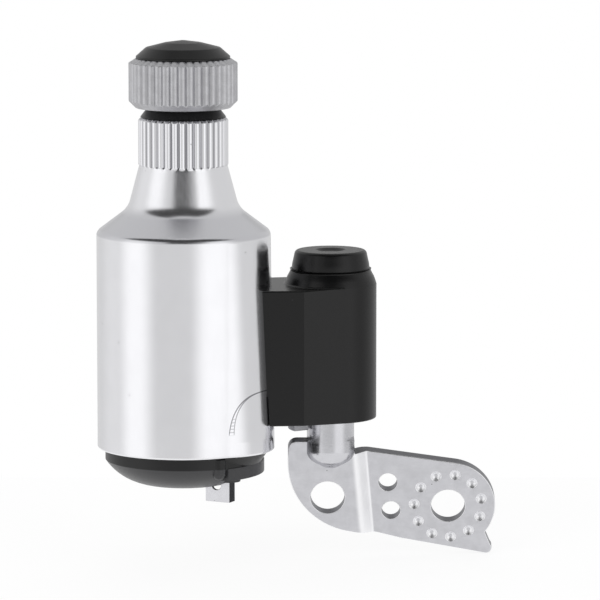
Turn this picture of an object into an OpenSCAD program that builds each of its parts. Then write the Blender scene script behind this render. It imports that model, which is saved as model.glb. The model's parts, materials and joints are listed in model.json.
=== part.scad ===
// Bottle dynamo for a bicycle: a friction-driven generator in an aluminium can,
// carried on a spring hinge by a stamped mounting plate.
// Origin: centre of the bolt hole on the plate's rear face.
// +Z runs along the rotor axis towards the roller, -Y faces the rider's outer side.

/* [Mounting plate] */
// Thickness of the stamped plate
plate_t = 3; // [2.4:0.1:3.4]
// Lean of the plate against the rotor axis, in degrees
plate_lean = 13; // [9:0.5:16]
// Radius of the bolt holes
bolt_r = 4.25; // [3.2:0.05:4.6]
// Radius of the plate's round end, around the bolt hole
plate_end_r = 11.8; // [10.8:0.1:13]
// Offset of the two flats at the joggle
joggle = 3.4; // [2.4:0.1:4]
// Radius of the two small holes
stay_hole_r = 2.3; // [1.8:0.1:2.6]
// Number of grip pips around the bolt hole
pips = 11; // [8:1:12]
// Radius of the circle of pips
pip_circle_r = 8.5; // [7.8:0.1:9.2]
// Radius of one pip
pip_r = 1.35; // [0.9:0.05:1.4]
// Height of a pip above the rear face
pip_h = 0.6; // [0.4:0.05:0.9]

/* [Hinge] */
// Distance from the bolt hole to the hinge axis
bolt_reach = 29.5; // [28.5:0.1:33]
// Distance from the rotor axis to the hinge axis
hinge_centres = 36.7; // [36:0.1:39]
// Bearing of the hinge seen from the rotor, in degrees
hinge_bearing = 8.3; // [4:0.1:12]
// Radius of the hinge pin's head
pin_r = 5.9; // [5.6:0.1:6.2]
// Radius of the hinge pin's shank
shank_r = 5; // [4.7:0.05:5.2]
// Height of the hinge cover
cover_h = 33.6; // [33:0.2:38]
// Radius of the cover around the hinge
cover_r = 11.4; // [11.2:0.1:12.2]
// Half the width of the cover at its crease
cover_half_w = 13.4; // [12.8:0.1:14.5]
// Wall of the cover
cover_wall = 1.5; // [1.2:0.1:1.7]
// Radius of the push button
button_r = 9.65; // [9.4:0.05:9.7]
// Height of the push button above the cover's flat top
button_rise = 8.4; // [7.8:0.1:9.6]
// Travel of the push button
button_travel = 2.5; // [1.5:0.1:2.6]

/* [Can] */
// Outer radius of the aluminium can
can_r = 21.5; // [21.3:0.1:22.5]
// Wall of the can
can_wall = 1.3; // [1:0.05:1.4]
// Height of the can's straight side
side_h = 53; // [52:0.2:60]
// Slope of the shoulder above the horizontal, in degrees
shoulder_slope = 37; // [35:0.5:44]
// Height of the neck ribs' foot above the can's foot
flute_z = 70.3; // [69.5:0.1:73]
// Length of the neck ribs
flute_h = 12; // [11:0.2:16]
// Radius of the neck between the ribs
neck_r = 10.6; // [10.4:0.05:10.9]
// Number of ribs around the neck
flutes = 36; // [24:1:40]
// Height of a neck rib
flute_depth = 0.5; // [0.4:0.05:0.6]
// How far the terminal bulge stands proud of the can at the foot
bulge_proud = 1.8; // [1.2:0.1:2.2]
// Height of the terminal bulge
bulge_h = 15.8; // [12:0.1:17]

/* [Roller] */
// Outer radius of the drive roller
roller_r = 13.4; // [12.8:0.1:14.5]
// Height of the drive roller
roller_h = 12.1; // [11.5:0.1:15]
// Number of ribs on the roller
ribs = 40; // [30:1:44]
// Depth of the grooves between the ribs
rib_depth = 0.6; // [0.4:0.05:0.8]
// Radius of the roller cap's rim
cap_r = 11.6; // [11.2:0.1:12.3]
// Height of the roller cap above the roller
cap_h = 4.4; // [4:0.1:6]

/* [Generator] */
// Radius of the rotor shaft
shaft_r = 3; // [2.8:0.05:3.2]
// Depth of the winding on its bobbin
winding_t = 2.75; // [2:0.05:3.5]
// Length of the ring magnet
magnet_h = 31; // [26:0.5:32]
// Air gap between magnet and claws
air_gap = 0.5; // [0.4:0.05:0.7]
// Thickness of the claw plates
claw_t = 1.5; // [1.2:0.1:1.8]
// Claws on each plate
claws = 4; // [3:1:6]
// Radial clearance of a running fit
running = 0.03; // [0.02:0.01:0.06]

/* [Base] */
// How far the base's visible band is set in from the can's side
base_inset = 1.9; // [1.8:0.05:2.3]
// Height of the visible band
band_h = 2.7; // [2.2:0.1:3.2]
// Height of the domed underside
dome_h = 5.8; // [5.2:0.1:6.6]
// Width of the terminal tab
tab_w = 6.6; // [5.8:0.1:6.8]
// Length of the tab below the base
tab_reach = 3.8; // [3.2:0.1:4.5]
// Radius of the wire hole
wire_r = 1.3; // [1:0.05:1.4]

/* [Hidden] */
$fn = 96;

slip = 0.05;     // clearance where one fixed piece drops into another
seat = 0.1;      // gap left between faces that only rest near each other
reach = 100;     // longer than any cut needs to be

// Where the axes stand
pin_behind_plate = 4.6;                   // hinge axis behind the plate's upper front edge
plate_top_z = 16.9;
left_face_w = joggle + plate_t;           // front face of the hinge-side flat, from the rear face
plate_top_y = -(left_face_w + plate_top_z * sin(plate_lean)) / cos(plate_lean);
hinge_pos = [-bolt_reach, plate_top_y + pin_behind_plate, 0];
can_pos = hinge_pos - hinge_centres * [cos(hinge_bearing), sin(hinge_bearing), 0];

// Heights along the hinge, from the bolt hole
head_z = 15;                              // centre of the pin's round nose
pin_step_z = 22.95;
cover_z = 22.4;
cover_top_z = cover_z + cover_h;
collar_rise = 3.8;                        // flared collar around the button
collar_bore_r = button_r + 0.1;
button_top_z = cover_top_z + button_rise;
bush_t = 1;
bush_r = 8;
barrel_bore_r = 7;
barrel_r = cover_r - cover_wall - 0.6;
barrel_z = pin_step_z - seat / 2;
barrel_top_z = cover_top_z - 7 - button_travel;
bush_len = 8;
latch_z = barrel_top_z + bush_t + 0.2;    // underside of the lock collar
latch_h = 7.3;
latch_flange_h = 2;
latch_flange_r = 7.2;
pin_tip_r = 4;
clip_t = 0.8;
clip_gap = 25;                            // half the opening of a spring clip, in degrees
tooth_h = 1.4;

// Heights along the rotor, from the can's foot
foot_z = 15.7;
base_r = can_r - base_inset;
lip_r = base_r + 0.15;
lip_h = 1.5;
corner_r = 2;
fillet_r = 6;
flare_slope = 15;
crest_r = neck_r + flute_depth;
flare_top_r = neck_r + 0.6 * flute_depth;
neck_top = flute_z + flute_h;
neck_bore_r = neck_r - 1.2;
spigot_z = flute_z - 3;                   // where the can's bore turns straight
stator_r = can_r - can_wall - slip;
stator_z = 7;
stator_top = side_h - 5;
shield_rim_h = 2.4;
bore_z = 56 + (side_h - 53);              // lower end of the bearing sleeve
sleeve_bore_r = 5.05;
plain_bush_h = 8;
shield_top = neck_top + 1.8;
roller_z = shield_top + 0.5;
roller_top = roller_z + roller_h;
web_t = 3.8;
thread_r = 2.5;
yoke_t = 1.25;
spool_wall = 0.8;
spool_out = stator_r - yoke_t - seat;
spool_in = spool_out - 0.3 - winding_t - slip - spool_wall;
finger_t = 1.4;
claw_r = spool_in - 0.2 - finger_t;
magnet_r = claw_r - air_gap;
lead_x = spool_out - 1.9;                 // where the coil's lead comes down
magnet_z = stator_z + 4.2;
hub_r = 6;
base_top = stator_z - seat;
base_floor_r = 11;
base_wall = 2;
terminal_bearing = -27;                   // bearing of the terminal pod from the rotor

// Terminal, in its own frame: x outwards along the pod, y across it towards the front
pod_half_w = base_r * sin(29);
pod_proud = 0.25;
nose_r = 1.6;                             // rounded boss at the pod's front end
nose_bearing = 34.6;
nose_z = -5.5;
tab_lip_r = 2.8;                          // lip around the tab's folded side
pod_z = -band_h - 3.1;
tab_x = base_r - 8.2;
tab_y = 3.2;
tab_t = 0.8;
tab_side = 3;
tab_top = -0.6;
guide_top = tab_top - 0.9;
base_bottom = -band_h - dome_h;
wire_rise = 4.3;                          // wire hole above the tab's tip

// Points on an arc about c, from angle a to angle b
function arc(c, r, a, b, n = 12) = [for (i = [0:n]) let (t = a + (b - a) * i / n) c + r * [cos(t), sin(t)]];

// Point where the lines n1.p = d1 and n2.p = d2 meet, for normals at angles a1 and a2
function meet(a1, d1, a2, d2) =
    let (det = cos(a1) * sin(a2) - sin(a1) * cos(a2))
    [(d1 * sin(a2) - d2 * sin(a1)) / det, (d2 * cos(a1) - d1 * cos(a2)) / det];

// Closed tube of radius r swept along the points of a path, with n sides
function unit(v) = v / norm(v);
function along(path, i) = unit(path[min(i + 1, len(path) - 1)] - path[max(i - 1, 0)]);
function ring(path, i, r, n, up) =
    let (t = along(path, i), u = unit(cross(t, up)), v = cross(u, t))
    [for (k = [0:n - 1]) path[i] + r * (cos(360 * k / n) * u + sin(360 * k / n) * v)];
module sweep(path, r, n = 8, up = [0, 0, 1]) {
    m = len(path);
    skin = [for (i = [0:m - 2], k = [0:n - 1])
        let (a = i * n + k, b = i * n + (k + 1) % n) each [[a, b, b + n], [a, b + n, a + n]]];
    ends = [[for (k = [0:n - 1]) n - 1 - k], [for (k = [0:n - 1]) (m - 1) * n + k]];
    polyhedron([for (i = [0:m - 1]) each ring(path, i, r, n, up)], concat(skin, ends), convexity = 6);
}

// Helix of a wire spring standing between two heights
function helix(r, z0, z1, turns, steps = 14) =
    [for (i = [0:turns * steps]) [r * cos(360 * i / steps), r * sin(360 * i / steps), z0 + (z1 - z0)
        * i / (turns * steps)]];

module tube(r_out, r_in, z0, z1) {
    translate([0, 0, z0]) difference() {
        cylinder(r = r_out, h = z1 - z0);
        translate([0, 0, -1]) cylinder(r = r_in, h = z1 - z0 + 2);
    }
}
// Wedge of the full height between two bearings less than 180 degrees apart
module sector(a, b, r, z0, z1) {
    translate([0, 0, z0]) linear_extrude(z1 - z0)
        polygon([[0, 0], r * [cos(a), sin(a)], r / cos((b - a) / 2) * [cos((a + b) / 2), sin((a + b) / 2)],
                 r * [cos(b), sin(b)]]);
}
module at_hinge() { translate(hinge_pos) children(); }
module at_can() { translate(can_pos + [0, 0, foot_z]) children(); }
// Frame of the hinge arm: x from the rotor axis to the hinge axis, z from the bolt hole
module at_arm() { translate(can_pos) rotate(hinge_bearing) children(); }
module at_pod() { rotate(terminal_bearing) mirror([0, 1, 0]) children(); }
// Lays a shape drawn flat, front face up, into the plane of the mounting plate
module in_plate() { rotate([90 + plate_lean, 0, 0]) children(); }

// Mounting plate
bend_x = -21.5;
bend_slope = 45;
bend_r = 1.6;
bend_tilt = 5;
hinge_x = -bolt_reach;
hook_r = 1.4;
left_hole = [hinge_x - 0.7, 3.7];
stay_holes = [[-15.1, 6.4], [-14.3, -1.2]];

// Section across the joggle: centreline of the sheet, then a band of constant thickness around it
function sheet_line(side) =
    let (t = side * plate_t / 2, run = joggle / tan(bend_slope), r = bend_r + plate_t / 2,
         turn = r * tan(bend_slope / 2), x1 = run / 2, lower = [x1 + turn, plate_t / 2], upper =
             [-x1 - turn, joggle + plate_t / 2])
    concat([[reach / 2, plate_t / 2 + t]],
           arc(lower + [0, r], r - t, 270, 270 - bend_slope, 6),
           arc(upper - [0, r], r + t, 90 - bend_slope, 90, 6),
           [[-reach / 2, joggle + plate_t / 2 + t]]);
module joggled_sheet() {
    top = sheet_line(1);
    bottom = sheet_line(-1);
    translate([bend_x, 0, 0]) rotate(bend_tilt) rotate([90, 0, 0]) translate([0, 0, -reach / 2])
        linear_extrude(reach)
        polygon(concat(top, [for (i = [len(bottom) - 1:-1:0]) bottom[i]]));
}
// Outline of the blank, around the bolt hole
lobe_x = hinge_x - 10.6;
lobe_top = (plate_top_z + left_face_w * sin(plate_lean)) / cos(plate_lean);
module blank() {
    belly_r = 18.5;
    corner = 2.2;
    arm_top = 14.9;
    linear_extrude(reach, center = true) polygon(concat(
        arc([0, 0], plate_end_r, -38, 82, 30),
        [[bend_x + 1.3, arm_top], [bend_x - 1.9, arm_top + 0.5], [hinge_x + 6.8, lobe_top]],
        arc([lobe_x + corner, lobe_top - corner], corner, 90, 180, 6),
        arc([lobe_x + belly_r, 12.6], belly_r, 180, 262, 24),
        [[-17.5, -7.4], [-11.7, -8.9]],
        arc([9.7, -11.6], hook_r, 258, 405, 10)));
}
module pip_marks(r_root, r_tip, h) {
    for (i = [0:pips - 1]) rotate(360 * (i + 0.4) / pips)
        translate([pip_circle_r, 0, 0]) cylinder(r1 = r_root, r2 = r_tip, h = h);
}
module pin_nose(extra = 0) {
    translate([0, 0, head_z]) {
        sphere(r = pin_r + extra);
        cylinder(r = pin_r + extra, h = pin_step_z - head_z);
    }
}
module mounting_plate() {
    color("silver") difference() {
        in_plate() difference() {
            union() {
                intersection() {
                    joggled_sheet();
                    blank();
                }
                mirror([0, 0, 1]) translate([0, 0, -0.2]) pip_marks(pip_r * 0.85, pip_r * 0.35, pip_h + 0.2);
            }
            cylinder(r = bolt_r, h = reach, center = true);
            translate([left_hole.x, left_hole.y, 0]) cylinder(r = bolt_r, h = reach, center = true);
            for (p = stay_holes) translate([p.x, p.y, 0]) cylinder(r = stay_hole_r, h = reach, center = true);
            translate([0, 0, plate_t - pip_h * 1.6]) pip_marks(pip_r * 0.35, pip_r, pip_h * 1.6 + 0.01);
        }
        at_hinge() pin_nose(slip);
    }
}

// Hinge pin: round-nosed head welded into the plate, turned shank above
module hinge_pin() {
    color("silver") at_hinge() difference() {
        union() {
            pin_nose();
            translate([0, 0, pin_step_z - 1]) cylinder(r = shank_r, h = latch_z - pin_step_z + 1);
            translate([0, 0, latch_z - 1]) cylinder(r = pin_tip_r, h = latch_h + clip_t + 2.2);
        }
        tube(pin_tip_r + 1, pin_tip_r - 0.5, latch_z + latch_h + seat / 2,
            latch_z + latch_h + clip_t + seat * 1.5);
        rotate(90) translate([0, 0, spring_foot_z]) rotate([0, 90, 0])
            cylinder(r = spring_wire + seat, h = reach);
    }
}
module lock_collar() {
    notch_half = 20;
    color("dimgray") at_hinge() difference() {
        union() {
            tube(5.5, pin_tip_r + slip, latch_z, latch_z + latch_h);
            tube(latch_flange_r, pin_tip_r + slip, latch_z + latch_h - latch_flange_h, latch_z + latch_h);
        }
        intersection() {
            tube(latch_flange_r + 1, 5.7, latch_z + latch_h - latch_flange_h - 1,
                latch_z + latch_h - latch_flange_h + 1.1);
            sector(90 - notch_half, 90 + notch_half, 12, 0, reach);
        }
    }
}
module pin_clip() {
    z = latch_z + latch_h + seat;
    color("dimgray") at_hinge() difference() {
        tube(pin_tip_r + 1.4, pin_tip_r - 0.45, z, z + clip_t - seat / 2);
        sector(-clip_gap, clip_gap, 12, z - 1, z + clip_t + 1);
    }
}

// Hinge arm: metal bracket inside, moulded cover outside
lug_r = 10.6;
lug_z = 19.6;
saddle_z = 33;
saddle_top = cover_top_z - 3.4;
saddle_half = 19;
saddle_t = 2.4;
stud_r = 2;
stud_z = [37.5, 46.5];
spring_wire = 0.55;
spring_mean_r = 6.05;
spring_foot_z = barrel_z + bush_t + bush_len + 1.2;
spring_head_z = barrel_top_z - bush_len - 1.2;
module hinge_bracket() {
    color("lightgray") {
        difference() {
            union() {
                at_hinge() {
                    tube(barrel_r, barrel_bore_r, barrel_z, barrel_top_z);
                    intersection() {
                        union() {
                            tube(lug_r, pin_r + 0.5, lug_z, cover_z - seat);
                            tube(barrel_r, bush_r + slip, cover_z - 2 * seat, barrel_z + 2);
                        }
                        sector(182, 212, 20, 0, 40);
                    }
                }
                at_arm() {
                    translate([can_r + 1, -3.5, saddle_z])
                        cube([hinge_centres - can_r - barrel_bore_r - 2, 7, barrel_top_z - saddle_z]);
                    intersection() {
                        tube(can_r + slip + saddle_t, can_r + slip, saddle_z, saddle_top);
                        sector(-saddle_half, saddle_half, 40, 0, reach);
                    }
                    for (z = stud_z) translate([can_r - can_wall, 0, z]) rotate([0, 90, 0])
                        cylinder(r = stud_r, h = can_wall + 1);
                }
            }
            at_hinge() translate([0, 0, barrel_z - 1])
                cylinder(r = bush_r + slip, h = 1 + bush_t + 1.5 * seat);
            at_hinge() rotate(hinge_bearing + 180) translate([0, 0, spring_head_z]) rotate([0, 90, 0])
                cylinder(r = spring_wire + seat, h = barrel_r + 0.8);
            at_arm() cylinder(r = can_r - can_wall, h = reach);
        }
    }
}
// Plan of the cover: flat cheeks from the can to a crease, then tangent walls to the round barrel
crease_x = 28.1;
cheek_taper = 0.8;
module cover_plan(inset, z0, z1) {
    r = cover_r - inset;
    half = cover_half_w - inset;
    d = [crease_x - hinge_centres, half];
    touch = atan2(d.y, d.x) - acos(r / norm(d));
    wall = concat([[can_r - 8, half - cheek_taper], [crease_x, half]],
                  [[hinge_centres, 0] + r * [cos(touch), sin(touch)]]);
    translate([0, 0, z0]) {
        linear_extrude(z1 - z0)
            polygon(concat(wall, [for (i = [len(wall) - 1:-1:0]) [wall[i].x, -wall[i].y]]));
        translate([hinge_centres, 0, 0]) cylinder(r = r, h = z1 - z0);
    }
}
module hinge_cover() {
    top_wall = 1.8;
    lip = 0.3;
    color("#202022") difference() {
        at_arm() difference() {
            union() {
                cover_plan(0, cover_z, cover_top_z);
                translate([hinge_centres, 0, cover_top_z]) rotate_extrude()
                    polygon([[0, -0.2], [cover_r, -0.2], [cover_r, 0], [cover_r - 0.25, 0.8],
                        [cover_r - 0.65, 1.9],
                             [cover_r - 1, 2.5], [collar_bore_r + lip, 3.2], [collar_bore_r + lip - 0.1, 3.6],
                             [collar_bore_r + lip - 0.2, collar_rise], [0, collar_rise]]);
            }
            cover_plan(cover_wall, cover_z - 1, cover_top_z - top_wall);
            translate([hinge_centres, 0, cover_z]) cylinder(r = collar_bore_r, h = reach);
            cylinder(r = can_r + slip, h = reach);
        }
        at_can() bulge(0.3);
    }
}
module flanged_bush(z, up) {
    difference() {
        union() {
            tube(barrel_bore_r - slip, shank_r + running, up ? z - bush_len : z, up ? z : z + bush_len);
            tube(bush_r, shank_r + running, up ? z - seat / 2 : z - bush_t, up ? z + bush_t : z + seat / 2);
        }
    }
}
module hinge_bush_lower() { color("ivory") at_hinge() flanged_bush(pin_step_z + bush_t, false); }
module hinge_bush_upper() { color("ivory") at_hinge() flanged_bush(barrel_top_z + slip, true); }
// Torsion spring: foot bent into the pin, head bent out into the bracket
module torsion_spring() {
    turns = floor((spring_head_z - spring_foot_z) / (2 * spring_wire + 0.2));
    leg = 2.4;
    coil = helix(spring_mean_r, spring_foot_z, spring_head_z, turns);
    quarter = [for (p = coil) [cos(90) * p.x - sin(90) * p.y, sin(90) * p.x + cos(90) * p.y, p.z]];
    last = hinge_bearing + 180 - 90;
    tail = [for (i = [1:7]) let (a = 90 + 360 * turns + last * i / 7)
        [spring_mean_r * cos(a), spring_mean_r * sin(a), spring_head_z]];
    color("gray") at_hinge() sweep(concat([[0, spring_mean_r - leg, spring_foot_z],
        [0, spring_mean_r - 0.9, spring_foot_z]],
                                          quarter, tail,
                                          [(spring_mean_r + leg)
                                              * [cos(last + 90), sin(last + 90), 0] + [0, 0, spring_head_z]]),
                                   spring_wire);
}
// Push button: cap with a dished top, skirt inside the collar and a hook under the lock collar
button_roof = 2;
skirt_r = button_r - 1.4;
module release_button() {
    skirt_z = latch_z + latch_h - latch_flange_h - tooth_h - 0.4;
    edge_r = 1;
    hook_in = latch_flange_r - 1.3;
    hook_half = 17;                       // half the width of the hook, in degrees
    h = button_top_z - cover_top_z;
    color("#202022") at_hinge() {
        difference() {
            union() {
                translate([0, 0, skirt_z]) cylinder(r = button_r, h = cover_top_z - skirt_z + 0.1);
                translate([0, 0, cover_top_z]) rotate_extrude()
                    polygon(concat([[0, 0], [button_r, 0], [button_r, h - 4.3], [button_r - 0.12, h - 3.3],
                        [button_r - 0.42, h - 2]],
                                   arc([button_r - 0.65 - edge_r, h - edge_r], edge_r, 10, 90, 6), [[0, h]]));
            }
            translate([0, 0, skirt_z - 1]) cylinder(r = skirt_r, h =
                button_top_z - button_roof - skirt_z + 1);
            translate([0, 0, button_top_z - 0.5]) cylinder(r1 = 2.6, r2 = 3.8, h = 0.51);
        }
        intersection() {
            tube(skirt_r + 0.2, hook_in, skirt_z, skirt_z + tooth_h);
            sector(90 - hook_half, 90 + hook_half, button_r, 0, reach);
        }
    }
}
module button_spring() {
    wire = 0.4;
    mean_r = latch_flange_r - 2 * wire;
    color("gray") at_hinge()
        sweep(helix(mean_r, latch_z + latch_h + wire + seat, button_top_z - button_roof - wire - seat, 3.5),
            wire, 6);
}

// Can: profile set in by a wall's depth from the outer surface
shoulder_normal = 90 - shoulder_slope;
function can_side(inset) =
    let (c1 = [can_r - corner_r, side_h],
         d1 = c1 * [cos(shoulder_normal), sin(shoulder_normal)] + corner_r,
         d2 = [flare_top_r, flute_z] * [cos(flare_slope), sin(flare_slope)],
         c2 = meet(shoulder_normal, d1 + fillet_r, flare_slope, d2 + fillet_r))
    concat(arc(c1, corner_r - inset, 0, shoulder_normal, 8),
           arc(c2, fillet_r + inset, 180 + shoulder_normal, 180 + flare_slope, 6));
bulge_r = 15;
// Round column that stands proud of the can at the foot and falls back with height
module leaning(proud, fall, grow) {
    translate([can_r + proud - bulge_r, 0, 0]) rotate([0, -atan(fall), 0]) translate([0, 0, -7])
        cylinder(r = bulge_r + grow, h = bulge_h + 14);
}
// Terminal bulge: nearly upright wall below, steep brow above
module bulge(grow) {
    brow = 0.29;
    at_pod() intersection() {
        leaning(bulge_proud, 0.04, grow);
        leaning(brow * bulge_h, brow, grow);
        translate([0, -20, -max(grow, 0)]) cube([40, 40, bulge_h + 3 + max(grow, 0)]);
    }
}
module neck_ribs() {
    rib_r = 0.8;
    core_r = neck_r - 0.6;
    intersection() {
        rotate_extrude() polygon([[core_r, flute_z - 0.2], [flare_top_r - 0.1, flute_z - 0.2],
            [crest_r + 0.1, flute_z + 0.5],
                                  [crest_r + 0.1, neck_top - 0.6], [neck_r, neck_top - 0.1],
                                      [core_r, neck_top - 0.1]]);
        for (i = [0:flutes - 1]) rotate(360 * i / flutes)
            translate([crest_r - rib_r, 0, flute_z - 1]) cylinder(r = rib_r, h = flute_h + 2);
    }
}
module can_shell() {
    color("gainsboro") difference() {
        at_can() difference() {
            union() {
                rotate_extrude() polygon(concat(
                    [[lip_r, 0]], arc([can_r - 1.7, 1.7], 1.7, 285, 360, 6), can_side(0),
                    [[flare_top_r, flute_z], [neck_r, flute_z + 0.35], [neck_r, neck_top - 0.3],
                        [neck_r - 0.3, neck_top], [neck_bore_r, neck_top],
                     [neck_bore_r, spigot_z]],
                    [for (i = [len(can_side(can_wall)) - 1:-1:0]) can_side(can_wall)[i]],
                    [[can_r - can_wall, lip_h], [lip_r, lip_h]]));
                difference() {
                    bulge(0);
                    cylinder(r = can_r - can_wall / 2, h = reach);
                }
                neck_ribs();
            }
            intersection() {
                bulge(-can_wall);
                tube(40, base_r - 3, -1, bulge_h);
            }
        }
        at_arm() for (z = stud_z) translate([can_r - 4, 0, z]) rotate([0, 90, 0])
            cylinder(r = stud_r + slip, h = 8);
    }
}
// End shield: spigot in the neck, cone under the shoulder and rim on the upper claw plate
module end_shield() {
    gap = can_wall + 0.15;
    rim_z = stator_top + slip;
    color("#262628") at_can() rotate_extrude() polygon(concat(
        [[stator_r, rim_z], [stator_r, side_h]], [for (p = can_side(gap)) if (p.x < stator_r - 0.1) p],
        [[neck_bore_r - slip, spigot_z - 0.4], [neck_bore_r - slip, neck_top + slip],
            [neck_r - 0.05, neck_top + slip],
         [neck_r - 1.4, shield_top], [sleeve_bore_r, shield_top], [sleeve_bore_r, bore_z],
             [sleeve_bore_r + 3, bore_z],
         [stator_r - 3.2, rim_z + shield_rim_h], [stator_r - 3.2, rim_z]]));
}
module plain_bush(z) { color("peru") at_can() tube(sleeve_bore_r - running, shaft_r + running, z,
    z + plain_bush_h); }
module bush_upper() { plain_bush(shield_top - plain_bush_h - 0.3); }
module bush_lower() { plain_bush(bore_z); }
module felt_ring() {
    color("tan") at_can() tube(sleeve_bore_r - slip, shaft_r + 0.25, bore_z + plain_bush_h + seat,
        shield_top - plain_bush_h - 0.3 - seat);
}

// Stator: two claw plates with interleaved fingers, a yoke ring and the coil between them
module claw_plate(len) {
    root = claw_r * sin(180 / claws * 0.55);
    tip = claw_r * sin(180 / claws * 0.32);
    difference() {
        union() {
            cylinder(r = stator_r, h = claw_t);
            for (i = [0:claws - 1]) rotate(360 * (i + 0.5) / claws) intersection() {
                cylinder(r = claw_r + finger_t, h = len);
                rotate([90, 0, 90]) linear_extrude(40)
                    polygon([[-root, 0], [root, 0], [tip, len + 1], [-tip, len + 1]]);
            }
        }
        translate([0, 0, -1]) cylinder(r = claw_r, h = len + 2);
        translate([lead_x, 0, -1]) cylinder(r = 0.8, h = claw_t + 2);
    }
}
finger_len = stator_top - stator_z - claw_t - 1;
module claw_lower() { color("slategray") at_can() translate([0, 0, stator_z]) rotate(terminal_bearing)
    claw_plate(finger_len); }
module claw_upper() {
    color("slategray") at_can() translate([0, 0, stator_top]) rotate(terminal_bearing + 180 / claws)
        mirror([0, 0, 1]) claw_plate(finger_len);
}
module yoke_ring() { color("slategray") at_can()
    tube(stator_r, stator_r - yoke_t, stator_z + claw_t, stator_top - claw_t); }
spool_z = stator_z + claw_t + slip;
spool_top = stator_top - claw_t - slip;
module coil_bobbin() {
    color("ivory") at_can() difference() {
        union() {
            tube(spool_in + spool_wall, spool_in, spool_z, spool_top);
            tube(spool_out, spool_in, spool_z, spool_z + spool_wall);
            tube(spool_out, spool_in, spool_top - spool_wall, spool_top);
        }
        rotate(terminal_bearing) translate([lead_x, 0, stator_z]) cylinder(r = 0.6, h = 5);
    }
}
module coil_winding() {
    color("chocolate") at_can() tube(spool_out - 0.3, spool_in + spool_wall + slip,
        spool_z + spool_wall + slip, spool_top - spool_wall - slip);
}
module coil_lead() {
    color("chocolate") at_can() rotate(terminal_bearing) translate([lead_x, 0, bridge_z + bridge_t])
        cylinder(r = 0.35, h = spool_z + spool_wall - bridge_z - bridge_t);
}

// Base: moulded cup with a domed underside and the terminal pod
bridge_t = 0.5;
bridge_z = base_top - bridge_t - 0.1;
function dome(inset) =
    let (a = [base_r - inset, -band_h], b = [base_floor_r - inset, base_bottom + inset], r = 14 - inset,
         m = (a + b) / 2, half = norm(a - b) / 2, n = unit([-(a - b).y, (a - b).x]), c =
             m + n * sqrt(r * r - half * half),
         a0 = atan2(b.y - c.y, b.x - c.x), a1 = atan2(a.y - c.y, a.x - c.x))
    arc(c, r, a0, a1, 10);
module base_cover() {
    color("#2a2a2c") at_can() difference() {
        union() {
            rotate_extrude() polygon(concat([[0, base_bottom]], dome(0),
                [[base_r, lip_h + seat], [can_r - can_wall - slip, lip_h + seat],
                    [can_r - can_wall - slip, base_top], [0, base_top]]));
            intersection() {
                translate([0, 0, pod_z]) cylinder(r = base_r + pod_proud, h = -band_h - pod_z);
                at_pod() translate([6, -pod_half_w, pod_z]) cube([20, 2 * pod_half_w, 10]);
            }
            at_pod() translate([can_r + bulge_proud - bulge_r, 0, -band_h]) {
                ledge_r = bulge_r - can_wall - 4 * slip;
                cylinder(r1 = ledge_r - bulge_proud, r2 = ledge_r, h = band_h);
            }
            at_pod() rotate(nose_bearing) translate([base_r - 0.9, 0, 0]) rotate_extrude($fn = 48)
                polygon(concat([[0, -0.3], [0, nose_z + nose_r * (1 - sin(75))]],
                               arc([0, nose_z + nose_r], nose_r, 285, 360, 8), [[nose_r, -0.3]]));
            at_pod() translate([tab_x + 2.5, tab_y - 0.7, pod_z - 1.3]) cylinder(r = tab_lip_r, h = 4);
            intersection() {
                bulge(-can_wall - slip);
                cylinder(r = 40, h = base_top - 1);
            }
        }
        difference() {
            rotate_extrude() polygon(concat([[0, base_bottom + base_wall]], dome(base_wall),
                [[base_r - base_wall, base_top + 1], [0, base_top + 1]]));
            at_pod() {
                translate([tab_x - tab_w / 2 - 1.3, tab_y - tab_side - 1, base_bottom])
                    cube([tab_w + 2.6, tab_side + 2.4, guide_top - base_bottom]);
                translate([bridge_x0 + 1.5, bridge_y, base_bottom])
                    cylinder(r = 1.5, h = bridge_z - base_bottom);
            }
        }
        at_pod() tab_section(base_bottom - 5, base_top, 0.12);
        at_pod() translate([bridge_x0, bridge_y - bridge_w / 2 - slip, bridge_z])
            cube([bridge_x1 - bridge_x0 + slip, bridge_w + 2 * slip, reach]);
        tube(can_r - can_wall + slip, can_r - can_wall - 1.1, 3, 4.2);
    }
}
module base_seal() {
    color("black") at_can() rotate_extrude() translate([can_r - can_wall - 0.6, 3.6])
        circle(r = 0.5, $fn = 24);
}
// Section of the terminal tab: face with one side folded back
module tab_section(z0, z1, grow) {
    translate([tab_x - tab_w / 2 - grow, tab_y - grow, z0])
        cube([tab_w + 2 * grow, tab_t + 2 * grow, z1 - z0]);
    translate([tab_x + tab_w / 2 - tab_t - grow, tab_y - tab_side + tab_t - grow, z0])
        cube([tab_t + 2 * grow, tab_side + 2 * grow, z1 - z0]);
}
module terminal_tab() {
    tip_z = base_bottom - tab_reach;
    color("silver") at_can() at_pod() difference() {
        union() {
            tab_section(tip_z, tab_top, 0);
            translate([tab_x - tab_w / 2 - 0.8, tab_y - tab_side + tab_t, guide_top + seat])
                cube([tab_w + 1.6, tab_side, tab_top - guide_top - seat]);
        }
        translate([tab_x - 0.3, 0, tip_z + wire_rise]) rotate([-90, 0, 0]) cylinder(r = wire_r, h = 20);
    }
}
bridge_y = 1.3;
bridge_w = 3.6;
bridge_x0 = 2;
bridge_x1 = lead_x + 1.3;
module contact_bridge() {
    color("gold") at_can() at_pod() translate([bridge_x0, bridge_y - bridge_w / 2, bridge_z])
        cube([bridge_x1 - bridge_x0, bridge_w, bridge_t]);
}
module terminal_spring() {
    wire = 0.25;
    color("gray") at_can() at_pod() translate([tab_x, tab_y - tab_side / 2 + tab_t, 0])
        sweep(helix(1.15, tab_top + wire + slip, bridge_z - wire - slip, 4, 10), wire, 6);
}

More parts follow.
